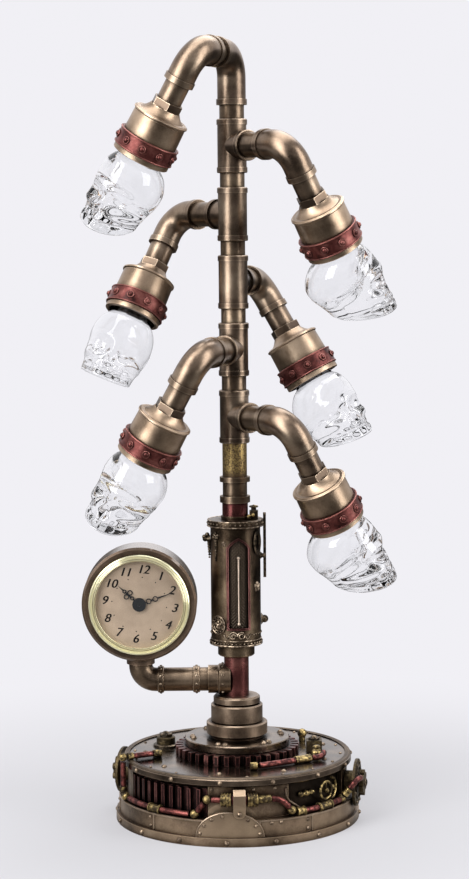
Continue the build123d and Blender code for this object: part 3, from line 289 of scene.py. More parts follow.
def rubbed_metal(
        name, dark, middle, bright, roughness=0.33, metallic=1.0, grain=0.1, blots=42.0, polish_and_highlight=(), belts=(),
        painted_top_shade=0.0, **more):
    """Patinated metal: cloudy tone, fine grain, worn edges with painted highlight, corners with grime and
    painted shade.

    Polished places are bright, with a painted highlight: a middle and a reach each. Belts are dull: a middle,
    an axis, half a width and a reach each. The painted top shade is how much darker the tops are.
    """
    board = Finish(name)
    tone = board.clouds(board.place(), blots, 4.0, 0.6)
    grains = board.clouds(board.place(), metal_grain, 2.0)
    colour = board.ramp(tone * 0.82 + grains * 0.18, (0.34, dark), (0.5, middle), (0.68, bright))
    # Painted highlight: polished places are mixed towards the bright tone
    for centre, reach in polish_and_highlight:
        away = board.vectors("DISTANCE", board.place(), centre)
        colour = board.mix(board.step(away, reach + polish_and_highlight_border, reach) * polish_and_highlight_share, colour, bright)
    for centre, axis, half, reach in belts:
        offset = board.vectors("SUBTRACT", board.place(), centre, "Vector")
        level = board.maths("ABSOLUTE", board.vectors("DOT_PRODUCT", offset, axis))
        inside = board.step(level, half + belt_border, half)
        inside = inside * board.step(board.vectors("LENGTH", offset), reach + belt_end, reach)
        colour = board.mix(inside * belt_share, colour, dark)
    # Painted shade: surfaces facing up are darkened against the light from above
    if painted_top_shade:
        facing_up = board.along("Z", board.node("ShaderNodeTexCoord", output="Normal"))
        colour = board.mix(board.step(facing_up, 0.2, 0.85) * painted_top_shade, colour, dark)
    # Painted highlight: sharp edges are lit towards the bright tone, on top of their wear
    worn_and_glinting = board.step(board.edge(edge_width), 0.008, 0.1)
    colour = board.mix(worn_and_glinting, colour, tuple(min(1.0, part * edge_wear_and_highlight_gain) for part in bright))
    # Painted shade: corners that little open air reaches are darkened, together with their grime
    air = board.step(board.hollow(corner_width), 0.48, 0.98)
    colour = board.mix(1.0, colour, board.ramp(air, (0.0, corner_grime_and_shade), (1.0, (1, 1, 1))), "MULTIPLY")
    rough = roughness + (tone - 0.5) * 0.3 + (1.0 - air) * 0.2
    return board.surface({
        "Base Color": colour, "Metallic": metallic, "Roughness": rough,
        "Normal": board.bump(grains, grain, 0.0003), **more})


def cast_metal(name, dark, bright, lumps=0.8, dull=()):
    """Rough-cast piece: lumpy skin, dark in its dips and on its dull places, bright on its humps.

    A dull place is its middle and its reach.
    """
    board = Finish(name)
    lump = board.clouds(board.place(), 420.0, 3.0)
    patch = board.clouds(board.place(), 130.0)
    # Painted shade: corners that little open air reaches stay dark
    air = board.step(board.hollow(0.004), 0.3, 0.95)
    share = board.step(lump * 0.6 + patch * 0.4, 0.43, 0.6) * air
    for centre, reach in dull:
        away = board.vectors("DISTANCE", board.place(), centre)
        share = share * (0.12 + board.step(away, reach, reach + 0.001) * 0.88)
    return board.surface({
        "Base Color": board.mix(share, dark, bright), "Metallic": 0.9,
        "Roughness": 0.36 + (1.0 - share) * 0.15, "Normal": board.bump(lump, lumps, 0.0009)})


def plain_finish(name, colour, roughness, metallic=0.0, grain=0.1):
    """Moulded plastic, card or plated steel with a faint grain."""
    board = Finish(name)
    grains = board.clouds(board.place(), 1800.0, 2.0)
    tone = board.clouds(board.place(), 70.0)
    dim = tuple(part * 0.84 for part in colour)
    return board.surface({
        "Base Color": board.mix(board.step(tone, 0.35, 0.65), dim, colour), "Metallic": metallic,
        "Roughness": roughness + (grains - 0.5) * 0.1, "Normal": board.bump(grains, grain, 0.0002)})


# Metals, each from the tone of its blots to the tone of its worn places and painted highlights
antique_tones = ((0.1, 0.071, 0.052), (0.25, 0.183, 0.131), (0.4, 0.312, 0.23))
antique = rubbed_metal("antique_brass", *antique_tones)
dark_pipe = rubbed_metal("dark_pipe", (0.075, 0.052, 0.035), (0.2, 0.145, 0.1), (0.38, 0.285, 0.2))
canister_metal = rubbed_metal(
    "canister_brass", (0.03, 0.02, 0.013), (0.108, 0.076, 0.05), (0.27, 0.2, 0.13))
rim_metal = rubbed_metal(
    "rim_brass", (0.028, 0.02, 0.014), (0.082, 0.06, 0.043), (0.18, 0.138, 0.1), roughness=0.5)
skirt_metal = rubbed_metal(
    "skirt_brass", (0.11, 0.079, 0.054), (0.285, 0.206, 0.14), (0.44, 0.335, 0.235), grain=0.45)
# Places on the panels painted bright, polish with a painted highlight: the arch plate and the pipe strap
arch_plate = ((-0.0054, -0.0833, 0.006), 0.0236)
pipe_strap = ((0.0012, -0.089, 0.031), 0.0095)
panel_metal = rubbed_metal(
    "panel_brass", (0.075, 0.053, 0.037), (0.2, 0.144, 0.1), (0.46, 0.345, 0.235), grain=0.45,
    polish_and_highlight=(arch_plate, pipe_strap))
nipple_metal = rubbed_metal("nipple_brass", (0.09, 0.064, 0.045), (0.24, 0.175, 0.12), (0.4, 0.31, 0.22))
tee_metal = rubbed_metal("tee_brass", (0.075, 0.053, 0.038), (0.196, 0.142, 0.102), (0.365, 0.284, 0.209))
burnished = rubbed_metal(
    "burnished_plate", (0.046, 0.034, 0.025), (0.13, 0.097, 0.073), (0.29, 0.222, 0.164),
    roughness=0.2, grain=0.05)
cup_metal = rubbed_metal(
    "cup_brass", (0.2, 0.142, 0.097), (0.39, 0.287, 0.202), (0.54, 0.415, 0.3), roughness=0.36, painted_top_shade=0.7)
case_metal = rubbed_metal(
    "case_brass", (0.1, 0.066, 0.045), (0.15, 0.1, 0.068), (0.24, 0.17, 0.12),
    roughness=0.42, metallic=0.85, **{"Coat Weight": 1.0, "Coat Roughness": 0.06})
red_copper = rubbed_metal(
    "red_copper", (0.03, 0.009, 0.008), (0.14, 0.038, 0.033), (0.29, 0.112, 0.094),
    roughness=0.38, metallic=0.8, blots=110.0)
red_pipe_metal = rubbed_metal(
    "red_pipe", (0.035, 0.012, 0.012), (0.17, 0.052, 0.048), (0.36, 0.15, 0.125), roughness=0.26, metallic=0.85)
dark_red = rubbed_metal(
    "dark_red_gear", (0.008, 0.004, 0.004), (0.026, 0.008, 0.008), (0.24, 0.1, 0.088),
    roughness=0.34, metallic=0.85)
drum_metal = rubbed_metal(
    "dark_drum", (0.01, 0.007, 0.005), (0.03, 0.022, 0.016), (0.1, 0.075, 0.05), roughness=0.38)

# Cast metals, each from the tone of its dips to the tone of its humps
gold_tones = ((0.06, 0.042, 0.022), (0.46, 0.34, 0.14))
gold_cast = cast_metal("gold_cast", *gold_tones)
side_valves = (((0.083, -0.018, 0.027), 0.018), ((-0.082, 0.025, 0.027), 0.018))
plate_valves = (((-0.051, 0.021, 0.049), 0.012), ((0.0545, 0.002, 0.049), 0.01))
valve_metal = cast_metal("valve_metal", (0.05, 0.036, 0.02), gold_tones[1], dull=side_valves + plate_valves)
red_tube = cast_metal("red_tube", (0.045, 0.014, 0.013), (0.23, 0.07, 0.06), lumps=0.4)
dark_cast = cast_metal("dark_cast", (0.02, 0.015, 0.01), (0.2, 0.15, 0.1), lumps=0.5)
bright_cast = cast_metal("bright_cast", (0.1, 0.072, 0.05), (0.56, 0.44, 0.32), lumps=0.3)
rivet_metal = cast_metal("rivet_metal", (0.1, 0.072, 0.05), (0.4, 0.3, 0.21), lumps=0.2)

# Plain steel, plastic, iron and ink
pale_rod = plain_finish("pale_rod", (0.62, 0.49, 0.39), 0.4, metallic=0.8)
zinc = plain_finish("zinc_steel", (0.55, 0.55, 0.53), 0.35, metallic=1.0)
black_plastic = plain_finish("black_plastic", (0.025, 0.025, 0.026), 0.4)
holder_plastic = plain_finish("holder_plastic", (0.16, 0.16, 0.165), 0.35)
hand_black = plain_finish("hand_black", (0.03, 0.032, 0.035), 0.42, metallic=0.4)
iron = plain_finish("weight_iron", (0.05, 0.05, 0.05), 0.6, metallic=0.5, grain=0.4)
ink = plain_finish("numeral_ink", (0.015, 0.014, 0.013), 0.5)

# Gold leaf on the sleeve, with painted shade darkening it towards its ends
shaded_end = 0.007
board = Finish("gold_leaf")
sleeve_foot, sleeve_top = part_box("gold_sleeve")
sleeve_half = (sleeve_top.z - sleeve_foot.z) / 2
sleeve_middle = Vector((0, 0, sleeve_foot.z + sleeve_half))
from_middle = board.vectors("DISTANCE", board.place((0, 0, 1)), sleeve_middle)
flake = board.clouds(board.place(), 980.0, 3.0)
# Painted shade: the leaf fades to the dark tone near each end of the sleeve
leaf = board.step(flake, 0.36, 0.64) * board.step(from_middle, sleeve_half, sleeve_half - shaded_end)
gold_leaf = board.surface({
    "Base Color": board.mix(leaf, (0.1, 0.066, 0.04), (0.5, 0.355, 0.135)), "Metallic": 0.9,
    "Roughness": 0.5 - leaf * 0.14, "Normal": board.bump(flake, 0.25, 0.0006)})

clock_middle = Vector((-67.5, 0, 153.6))


def from_clock_axis(board):
    return board.vectors("DISTANCE", board.place((1, 0, 1)), clock_middle * mm)


# Bezel: a smooth pale ring outside, and inside a darker slope with turned grooves painted as rings of highlight
# and shade
groove_turns = 5200.0
smooth_start = 0.0328
smooth_full = 0.0334
board = Finish("bezel_brass")
reach = from_clock_axis(board)
# Painted highlight and shade: the turned grooves are rings of pale and dark colour
grooves = board.maths("SINE", reach * groove_turns) * 0.5 + 0.5
grooved_shading = board.mix(grooves, (0.42, 0.375, 0.23), (0.95, 0.89, 0.62))
bezel_brass = board.surface({
    "Base Color": board.mix(board.step(reach, smooth_start, smooth_full), grooved_shading, (0.96, 0.91, 0.6)),
    "Metallic": 0.68, "Roughness": 0.19 + grooves * 0.04})

# Dial: aged card, with painted shade darkening it towards its edge, and the dark pin of the hands in its middle
pin_radius = 0.0014
pin_edge = 0.0022
board = Finish("dial_card")
reach = from_clock_axis(board)
tone = board.clouds(board.place(), 70.0)
card = board.mix(board.step(tone, 0.35, 0.65), (0.44, 0.335, 0.24), (0.51, 0.39, 0.28))
# Painted shade towards the edge of the dial
card = board.mix(board.step(reach, 0.022, 0.03) * 0.35, card, (0.33, 0.25, 0.17))
card = board.mix(board.step(reach, pin_radius, pin_edge), (0.02, 0.021, 0.023), card)
dial_card = board.surface({"Base Color": card, "Roughness": 0.5})

# Glass of the skulls and of the clock
board = Finish("skull_glass")
ripple = board.clouds(board.place(), 60.0, 2.0)
skull_glass = board.surface({
    "Base Color": (0.982, 0.985, 0.99), "Roughness": 0.0, "IOR": 1.46, "Transmission Weight": 1.0,
    "Specular IOR Level": 0.04, "Normal": board.bump(ripple, 0.12, 0.001)})
board = Finish("clock_glass")
smear = board.clouds(board.place(), 60.0, 2.0)
clock_glass = board.surface({
    "Base Color": (0.04, 0.04, 0.042), "Roughness": 0.02 + board.step(smear, 0.5, 0.75) * 0.03, "IOR": 1.5,
    "Specular IOR Level": 0.3, "Alpha": 0.08})

node_finish = {
    "base_plate": iron, "base_skirt": skirt_metal, "base_core": drum_metal, "base_panels": panel_metal,
    "led_driver": black_plastic, "base_top_plate": burnished, "base_fasteners": rivet_metal,
    "base_gears": dark_red, "gear_cover": burnished, "stem": zinc, "foot_rings": antique,
    "red_pipes": red_pipe_metal, "canister": canister_metal, "canister_frame": dark_red,
    "canister_fittings": dark_cast, "column_nipples": nipple_metal, "gold_sleeve": gold_leaf,
    "column_fittings": tee_metal, "clock_pipe": dark_pipe, "clock_case": case_metal, "clock_bezel": bezel_brass,
    "clock_dial": dial_card, "clock_glass": clock_glass, "clock_hour_hand": hand_black,
    "clock_minute_hand": hand_black, "pipework_tubes": red_tube, "base_valves": valve_metal,
    "cord_gland": black_plastic, "switch_body": black_plastic, "switch_button": black_plastic}


class Shape:
    """Points and faces of one piece, in millimetres."""

    def __init__(self):
        self.points = []
        self.faces = []

    def add(self, place, points, faces):
        first = len(self.points)
        self.points += [place @ Vector(point) for point in points]
        self.faces += [tuple(first + corner for corner in face) for face in faces]

    def rings(self, place, rings, closed=False):
        """Skin over rings of points. A ring of one point closes an end."""
        points = []
        starts = []
        for ring in rings:
            starts.append(len(points))
            points += ring
        faces = []
        pairs = list(zip(range(len(rings)), range(1, len(rings))))
        if closed:
            pairs.append((len(rings) - 1, 0))
        for this, other in pairs:
            count = max(len(rings[this]), len(rings[other]))
            for i in range(count):
                j = (i + 1) % count
                corners = [
                    starts[this] + i % len(rings[this]), starts[this] + j % len(rings[this]),
                    starts[other] + j % len(rings[other]), starts[other] + i % len(rings[other])]
                faces.append(tuple(dict.fromkeys(corners)))
        self.add(place, points, faces)

    def lathe(self, place, outline, steps=24, closed=False):
        """Turned form from (radius, height) points. A radius of 0 closes it."""
        turns = [2 * pi * i / steps for i in range(steps)]
        rings = []
        for radius, height in outline:
            if radius == 0:
                rings.append([(0, 0, height)])
            else:
                rings.append([(radius * cos(turn), radius * sin(turn), height) for turn in turns])
        self.rings(place, rings, closed)

    def dome(self, place, radius, height, steps=14):
        """Round rivet head on a thin foot."""
        foot = radius * 1.12
        arc = [
            (radius * cos(radians(rise)), 0.25 * height + 0.75 * height * sin(radians(rise)))
            for rise in (0, 25, 50, 72)]
        self.lathe(place, [(foot, -0.1), (foot, 0.18 * height), *arc, (0, height)], steps)

    def ball(self, place, radius, steps=12):
        arc = [(radius * sin(radians(rise)), -radius * cos(radians(rise))) for rise in (30, 60, 90, 120, 150)]
        self.lathe(place, [(0, -radius), *arc, (0, radius)], steps)

    def loop(self, place, radius, thickness, steps=32, stretch=1.0):
        """Round or oval wire ring in the plane of its seat."""
        turns = [2 * pi * i / steps for i in range(steps)]
        path = [(radius * stretch * cos(turn), radius * sin(turn), 0) for turn in turns]
        self.wire(place, path, thickness, closed=True)

    def wire(self, place, path, thickness, closed=False, steps=8):
        """Round bar along a path."""
        points = [Vector(point) for point in path]
        turns = [2 * pi * k / steps for k in range(steps)]
        count = len(points)
        rings = []
        side = None
        for i, point in enumerate(points):
            before = points[i - 1] if closed or i > 0 else point
            after = points[(i + 1) % count] if closed or i < count - 1 else point
            ahead = (after - before).normalized()
            if side is None:
                side = ahead.orthogonal()
            side = (side - ahead * side.dot(ahead)).normalized()
            across = ahead.cross(side)
            rings.append([tuple(point + (side * cos(t) + across * sin(t)) * thickness) for t in turns])
        if not closed:
            rings = [[tuple(points[0])]] + rings + [[tuple(points[-1])]]
        self.rings(place, rings, closed)

    def slab(self, place, outline, thickness, bevel):
        """Plate from an outline of (x, y) points, with a bevelled front edge."""
        middle = Vector((sum(x for x, _ in outline), sum(y for _, y in outline))) / len(outline)
        shrink = 1.0 - bevel / max((Vector(point) - middle).length for point in outline)
        inner = [middle + (Vector(point) - middle) * shrink for point in outline]
        self.rings(place, [
            [(middle.x, middle.y, 0)], [(x, y, 0) for x, y in outline],
            [(x, y, thickness - bevel) for x, y in outline], [(x, y, thickness) for x, y in inner],
            [(middle.x, middle.y, thickness)]])


def piece(name, shape, material, body, sharp=35, replaced=None):
    """Turn a shape into an object that rides on a body. Corners over sharp degrees stay crisp."""
    mesh = bpy.data.meshes.new(name)
    mesh.from_pydata([point * mm for point in shape.points], [], shape.faces)
    tidy = bmesh.new()
    tidy.from_mesh(mesh)
    bmesh.ops.recalc_face_normals(tidy, faces=tidy.faces)
    tidy.to_mesh(mesh)
    tidy.free()
    mesh.shade_smooth()
    mesh.set_sharp_from_angle(angle=radians(sharp))
    mesh.materials.append(material)
    made = bpy.data.objects.new(name, mesh)
    scene.collection.objects.link(made)
    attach(made, body)
    if replaced:
        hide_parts(replaced)
    return made


def seat(origin, across, away):
    """Seat from its origin, its x direction and its z direction."""
    side = away.cross(across)
    return Matrix.Translation(origin) @ Matrix((across, side, away)).transposed().to_4x4()


def moved(x=0.0, y=0.0, z=0.0):
    return Matrix.Translation((x, y, z))


def spun(degrees):
    return Matrix.Rotation(radians(degrees), 4, "Z")


def polar(azimuth, radius, height):
    """Point at an azimuth, a radius and a height."""
    return Vector((radius * cos(radians(azimuth)), radius * sin(radians(azimuth)), height))


def outward(azimuth, radius, height):
    """Seat on a wall: its z points away from the column and its x points up."""
    return seat(polar(azimuth, radius, height), up, polar(azimuth, 1, 0))


def upward(azimuth, radius, height):
    """Seat on a top: its z points up and its x points away from the column."""
    return seat(polar(azimuth, radius, height), polar(azimuth, 1, 0), up)


def spread(start, count):
    """Angles of a whole ring of things, evenly spaced."""
    return [start + 360 / count * i for i in range(count)]


def top_of(node):
    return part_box(node)[1].z / mm


root = "lamp_frame"
skirt_top = top_of("base_skirt")
plate_top = top_of("base_top_plate")
cover_top = top_of("gear_cover")
wall_top = top_of("base_panels")
flange_top = 6.0
flange_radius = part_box("base_skirt")[1].x / mm
skirt_radius = flange_radius - 2.5
rim_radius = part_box("base_top_plate")[1].x / mm
wall_radius = 77.5

# Base: heads of its rivets and bolts, each a radius and a height
rim_head = (1.5, 1.4)
cover_head = (1.9, 1.9)
plate_pin = (1.0, 0.8)
plate_head = (1.7, 1.3)
seam_head = (1.2, 1.1)
panel_head = (1.1, 1.0)
strap_head = (1.5, 1.3)
seams = (-133.2, -52.8, 27.6, 108.0, 188.4)
panel_rivets = (-103.0, -82.0, -71.0, -16.0, 4.0, 24.0, 44.0, 64.0, 84.0, 124.0, 144.0, 164.0, 184.0)
arch_azimuth = -93.7
arch_stand = 1.0


def arch_point(turn, half_width, foot, rise):
    """Azimuth and height on the arch plate, at a turn round the middle of its foot."""
    azimuth = arch_azimuth + half_width * cos(radians(turn)) / skirt_radius * 180 / pi
    return azimuth, foot + rise * sin(radians(turn))


rivets = Shape()
for azimuth in spread(-95, 16):
    rivets.dome(outward(azimuth, flange_radius, flange_top / 2), *rim_head)
for azimuth in spread(-98.5, 14):
    rivets.dome(outward(azimuth, rim_radius, (wall_top + plate_top) / 2), *rim_head)
for azimuth in spread(-50, 6):
    for turn in (-4.5, 4.5):
        rivets.dome(upward(azimuth + turn, 31.5, cover_top), *cover_head)
for azimuth in spread(-85, 18):
    rivets.dome(upward(azimuth, 73.0, plate_top), *plate_pin, 10)
for azimuth in spread(-101, 9):
    rivets.dome(upward(azimuth, 65.0, plate_top), *plate_head)
for azimuth in seams:
    for height in (8.4, 14.4):
        rivets.dome(outward(azimuth - 2.4, skirt_radius, height), *seam_head)
for azimuth in panel_rivets:
    rivets.dome(outward(azimuth, wall_radius, wall_top - 2.6), *panel_head)
for turn in (10, 32, 54, 76, 104, 126, 148, 170):
    azimuth, height = arch_point(turn, 20.6, flange_top, 15.2)
    rivets.dome(outward(azimuth, skirt_radius + arch_stand, height), *seam_head)
for azimuth in (-80.1, -74.1, -69.4):
    rivets.dome(outward(azimuth, skirt_radius, skirt_top - 2.2), *panel_head)
rivets.dome(outward(-89.2, skirt_radius + 2.2, 22.6), *strap_head)
piece("base_rivets", rivets, rivet_metal, root, replaced="base_fasteners")

# Base: raised strips on the skirt seams, round the skirt's top, on the arch plate and beside the right window
strips = Shape()
for azimuth in seams:
    path = [polar(azimuth, skirt_radius, flange_top + 0.4 + 2.2 * i) for i in range(6)]
    strips.wire(Matrix(), path, 0.65)
strips.lathe(Matrix(), [
    (skirt_radius - 0.2, skirt_top - 1.2), (skirt_radius + 0.45, skirt_top - 1.0),
    (skirt_radius + 0.45, skirt_top - 0.2), (skirt_radius - 0.2, skirt_top + 0.2)], 120)
arch = []
for turn in range(0, 181, 9):
    azimuth, height = arch_point(turn, 22.9, flange_top + 0.3, 17.2)
    arch.append(polar(azimuth, skirt_radius + arch_stand, height))
strips.wire(Matrix(), arch, 0.5)
curl = ((-65.2, 36.5), (-65.0, 32.0), (-63.6, 27.8), (-60.4, 24.8), (-57.4, 22.0), (-56.0, 18.6))
strips.wire(Matrix(), [polar(azimuth, wall_radius + 0.2, height) for azimuth, height in curl], 0.8)
piece("base_strips", strips, antique, root)

# Base: raised edge of the top plate
rim = Shape()
rim.lathe(Matrix(), [
    (rim_radius - 4.2, plate_top - 0.2), (rim_radius - 4.2, plate_top + 0.7),
    (rim_radius - 3.6, plate_top + 1.0), (rim_radius - 1.3, plate_top + 1.0),
    (rim_radius - 0.5, plate_top + 0.2), (rim_radius - 0.5, plate_top - 1.0)], 120)
piece("plate_rim", rim, rim_metal, root)

# Base: brass brackets of the handwheel in the right window
brackets = Shape()
hook = ((-33.4, 37.0), (-30.4, 35.4), (-29.0, 31.6), (-29.0, 27.2), (-30.6, 23.6), (-33.6, 22.0))
brackets.wire(Matrix(), [polar(azimuth, wall_radius, height) for azimuth, height in hook], 0.9)
axle_radius = 75.8
axle = [polar(azimuth, axle_radius, 30.0 + 0.1 * i) for i, azimuth in enumerate((-56, -53, -50, -47))]
brackets.wire(Matrix(), axle, 1.3)
for azimuth, size in ((-55.4, 2.0), (-52.0, 2.3), (-48.8, 1.8)):
    brackets.ball(outward(azimuth, axle_radius, 30.2), size)
brackets.ball(outward(-34.2, 78.6, 30.6), 2.0)
brackets.ball(outward(-40.2, 80.2, 30.0), 1.7)
piece("window_brackets", brackets, gold_cast, root)

# Base: ridges on the couplings of the pipework, in front and on the ledge
front_ridge = [(4.0, -0.5), (4.8, -0.35), (4.8, 0.35), (4.0, 0.5)]
ledge_ridge = [(2.5, -0.7), (3.3, -0.5), (3.3, 0.5), (2.5, 0.7)]
ridges = Shape()


def round_pipe(azimuth, radius, height):
    """Seat round a pipe that runs along the wall."""
    return seat(polar(azimuth, radius, height), up, polar(azimuth + 90, 1, 0))


for start, end in ((-97.8, -93.0), (-85.4, -80.6)):
    for share in (0.08, 0.36, 0.64, 0.92):
        ridges.lathe(round_pipe(start + (end - start) * share, 82.1, 31.5), front_ridge, 20)
for azimuth in (-137.2, -130.8, -60.0, -56.2, -46.6, -38.4):
    ridges.lathe(round_pipe(azimuth, 81.0, skirt_top + 2.7), ledge_ridge, 16)
piece("coupling_ridges", ridges, gold_cast, root)


def hexagon(radius):
    return [(radius * cos(radians(60 * i)), radius * sin(radians(60 * i))) for i in range(6)]


# Base: nuts and knobs of the valves on the top plate and at the sides
nut_bevel = 0.4
nut_sink = 0.1
drum_height = 6.9
drum_nut_height = 2.4
box_height = 7.9
box_nut_height = 1.8
wheel_rivets = 14.0
wheel_hub = 4.7
knobs = Shape()
drum = upward(157.7, 55.2, plate_top)
knobs.lathe(drum, [(9.0, -0.1), (9.0, 1.2), (8.2, 1.8), (6.6, 1.9)], 28)
knobs.slab(drum @ moved(z=drum_height), hexagon(5.0), drum_nut_height, nut_bevel)
knobs.dome(drum @ moved(z=drum_height + drum_nut_height - nut_sink), 2.4, 1.5)
box = upward(2.0, 54.5, plate_top)
knobs.slab(box @ moved(z=box_height), hexagon(4.0), box_nut_height, nut_bevel)
knobs.dome(box @ moved(z=box_height + box_nut_height - nut_sink), 2.0, 1.6)
for azimuth in (-12.0, 163.0):
    disc = outward(azimuth, 86.4, 27.0)
    for turn in spread(20, 8):
        knobs.dome(disc @ spun(turn) @ moved(wheel_rivets), 1.3, 1.1)
    knobs.lathe(disc, [(11.8, -0.1), (11.8, 0.9), (10.6, 0.9), (10.6, -0.1)], 40)
    knobs.dome(disc @ moved(z=wheel_hub), 3.2, 2.0)
piece("valve_knobs", knobs, dark_cast, root)

# Base: brass caps of the valve beside the right tube
cap_azimuth = -14.0
cap_radius = 57.5
cap_outline = [(1.6, 0), (2.0, 1.4), (3.0, 2.0), (2.2, 3.0), (0, 3.4)]
brass_caps = Shape()
brass_caps.ball(upward(cap_azimuth, cap_radius, plate_top + 2.6), 3.4)
brass_caps.ball(upward(-20.5, 58.0, plate_top + 3.4), 2.6)
brass_caps.lathe(upward(cap_azimuth, cap_radius, plate_top + 4.6), cap_outline, 16)
piece("plate_valve_caps", brass_caps, gold_cast, root)

# Canister: rows of beads and the plain rings beside them
canister_foot = 123.0
canister_top = canister_foot + 84.0
shell = 17.5
beads = Shape()
for radius, height, size, azimuths in (
        (19.4, canister_top + 2.3, 0.8, spread(0, 36)), (shell + 0.6, canister_foot + 2.4, 0.7, spread(0, 40)),
        (shell + 0.1, canister_foot + 8.6, 0.62, [-62 + 8 * i for i in range(34)])):
    for azimuth in azimuths:
        beads.ball(outward(azimuth, radius, height), size, 8)
for height, radius, size in (
        (canister_top + 0.3, 19.45, 0.55), (canister_top + 4.2, 19.2, 0.5),
        (canister_foot + 0.9, shell + 0.5, 0.75), (canister_foot + 4.3, shell + 0.1, 0.45)):
    beads.loop(upward(0, 0, height), radius, size, 72)
piece("canister_beads", beads, bright_cast, root)

# Canister: scrolls under the recess, the medallion and the flowers
medallion_azimuth = -134.7
medallion_height = 138.4
pendant_azimuth = -139.5
pendant_height = 201.0
scroll_lift = 0.2
scroll_size = 3.0
scroll_steps = 26
scrolls = Shape()
for middle, way in ((-97.0, 1), (-77.5, -1)):
    spiral = []
    for i in range(scroll_steps):
        turn = radians(24 * i)
        size = scroll_size * (1 - i / 32)
        azimuth = middle + way * size * cos(turn) * 3.3
        spiral.append(polar(azimuth, shell + scroll_lift, canister_foot + 8.2 + size * sin(turn)))
    scrolls.wire(Matrix(), spiral, 0.5)
    tail = [(way * -9.5, 8.2), (way * -13.0, 6.0), (way * -18.0, 6.6), (way * -22.0, 9.0)]
    tail = [polar(middle + turn, shell + scroll_lift, canister_foot + height) for turn, height in tail]
    scrolls.wire(Matrix(), tail, 0.45)
medallion = outward(medallion_azimuth, shell + scroll_lift, medallion_height)
scrolls.loop(medallion, 6.2, 0.55, 36)
scrolls.loop(medallion, 4.2, 0.35, 30)
for turn in spread(0, 12):
    scrolls.ball(medallion @ spun(turn) @ moved(5.2), 0.6, 8)
for height, azimuth, size in (
        (medallion_height, medallion_azimuth, 1.0), (165.0, -33.0, 1.15), (196.0, -117.0, 0.55),
        (pendant_height, pendant_azimuth, 0.8)):
    flower = outward(azimuth, shell + 0.1, height)
    scrolls.dome(flower, 1.3 * size, 1.5 * size, 12)
    for turn in spread(0, 5):
        scrolls.dome(flower @ spun(turn) @ moved(2.0 * size), 1.15 * size, 0.9 * size, 10)
piece("canister_scrolls", scrolls, bright_cast, root)

# Canister: pendants at the left and the chain link at the right
charms = Shape()
for i in range(9):
    charms.ball(outward(pendant_azimuth, shell + 0.4, 197.6 - 1.7 * i), 1.5 - 0.1 * i, 10)
for turn in spread(0, 3):
    charms.ball(outward(pendant_azimuth, shell + 0.8, pendant_height) @ spun(turn) @ moved(2.0), 1.1, 10)
for i in range(7):
    charms.ball(outward(180, shell + 0.8, 196.0 - 1.9 * i), 1.7 - 0.16 * i, 10)
charms.ball(outward(180, shell + 4.2, 199.0), 1.7, 10)
charms.ball(outward(180, shell + 2.2, 200.6), 1.6, 10)
link = outward(-34.0, shell + 0.9, 196.4)
charms.loop(link, 3.6, 0.7, 32, stretch=2.2)
charms.loop(link, 2.1, 0.45, 24, stretch=2.9)
piece("canister_charms", charms, dark_cast, root)

# Canister: hatched sheet at the bottom of the arched recess
board = Finish("hatched_sheet")
lattice = None
for turn in (45, -45):
    lines = board.node("ShaderNodeTexWave", {"bands_direction": "Z"}, {
        "Vector": board.place(turn=(0, radians(turn), 0)), "Scale": 190.0, "Distortion": 0.4}, output=1)
    lattice = lines if lattice is None else board.maths("MAXIMUM", lattice, lines)
# Painted shade: the hatched sheet darkens where the recess closes in round it
sheet_air = board.step(board.hollow(0.006), 0.2, 0.95)
hatched = board.surface({
    "Base Color": board.mix(lattice * sheet_air, (0.014, 0.01, 0.008), (0.075, 0.054, 0.036)),
    "Metallic": 0.8, "Roughness": 0.5 - lattice * 0.12, "Normal": board.bump(lattice, 0.5, 0.0006)})
gauge_azimuth = -83.4
gauge_sill = 135.2
sheet_half_width = 6.7
sheet_radius = 16.02
sheet_columns = 8
arch_start = 58
arch_end = 63.6
gauge_away = polar(gauge_azimuth, 1, 0)
gauge_across = polar(gauge_azimuth + 90, 1, 0)
sheet_heights = [1.6 + 3.3 * i for i in range(18)] + [59.4, 61.0, 62.2, 63.2]
corners = []
for height in sheet_heights:
    pinch = 1.0 if height < arch_start else sqrt(max(0.0, (arch_end - height) / 5.8))
    for i in range(sheet_columns + 1):
        sideways = sheet_half_width * pinch * (2 * i / sheet_columns - 1)
        deep = sqrt(sheet_radius ** 2 - sideways ** 2)
        corners.append(gauge_away * deep + gauge_across * sideways + up * (gauge_sill + height))
row = sheet_columns + 1
sheet = Shape()
sheet.add(Matrix(), corners, [
    (row * r + i, row * r + i + 1, row * r + i + 1 + row, row * r + i + row)
    for r in range(len(sheet_heights) - 1) for i in range(sheet_columns)])
piece("gauge_sheet", sheet, hatched, root)

# Canister: pale rod of the gauge with a ball at each end
rod_seat = gauge_away * (shell + 0.25) + up * gauge_sill
rod_foot = 4.5
rod_top = 51.0
rod = Shape()
rod.wire(Matrix(), [rod_seat + up * height for height in (rod_foot, 20, 36, rod_top)], 0.6)
for height in (rod_foot, rod_top):
    rod.ball(Matrix.Translation(rod_seat + up * height), 1.2)
piece("gauge_needle", rod, pale_rod, root)

# Canister: small wheel on the valve of the cap, and the knobs of the lever
wheel_radius = 2.7
wheel = Shape()
valve = moved(13.0, 0, canister_top + 13.2)
wheel.loop(valve, wheel_radius, 0.6, 20)
wheel.ball(valve, 1.3)
for turn in spread(0, 3):
    wheel.wire(valve, [polar(turn, reach, 0) for reach in (0, 1.4, wheel_radius)], 0.4)
wheel.ball(moved(9.6, -5.4, canister_top + 6.4), 1.9)
wheel.ball(moved(12.4, -4.6, canister_top + 7.6), 1.5)
piece("cap_wheel", wheel, gold_cast, root)

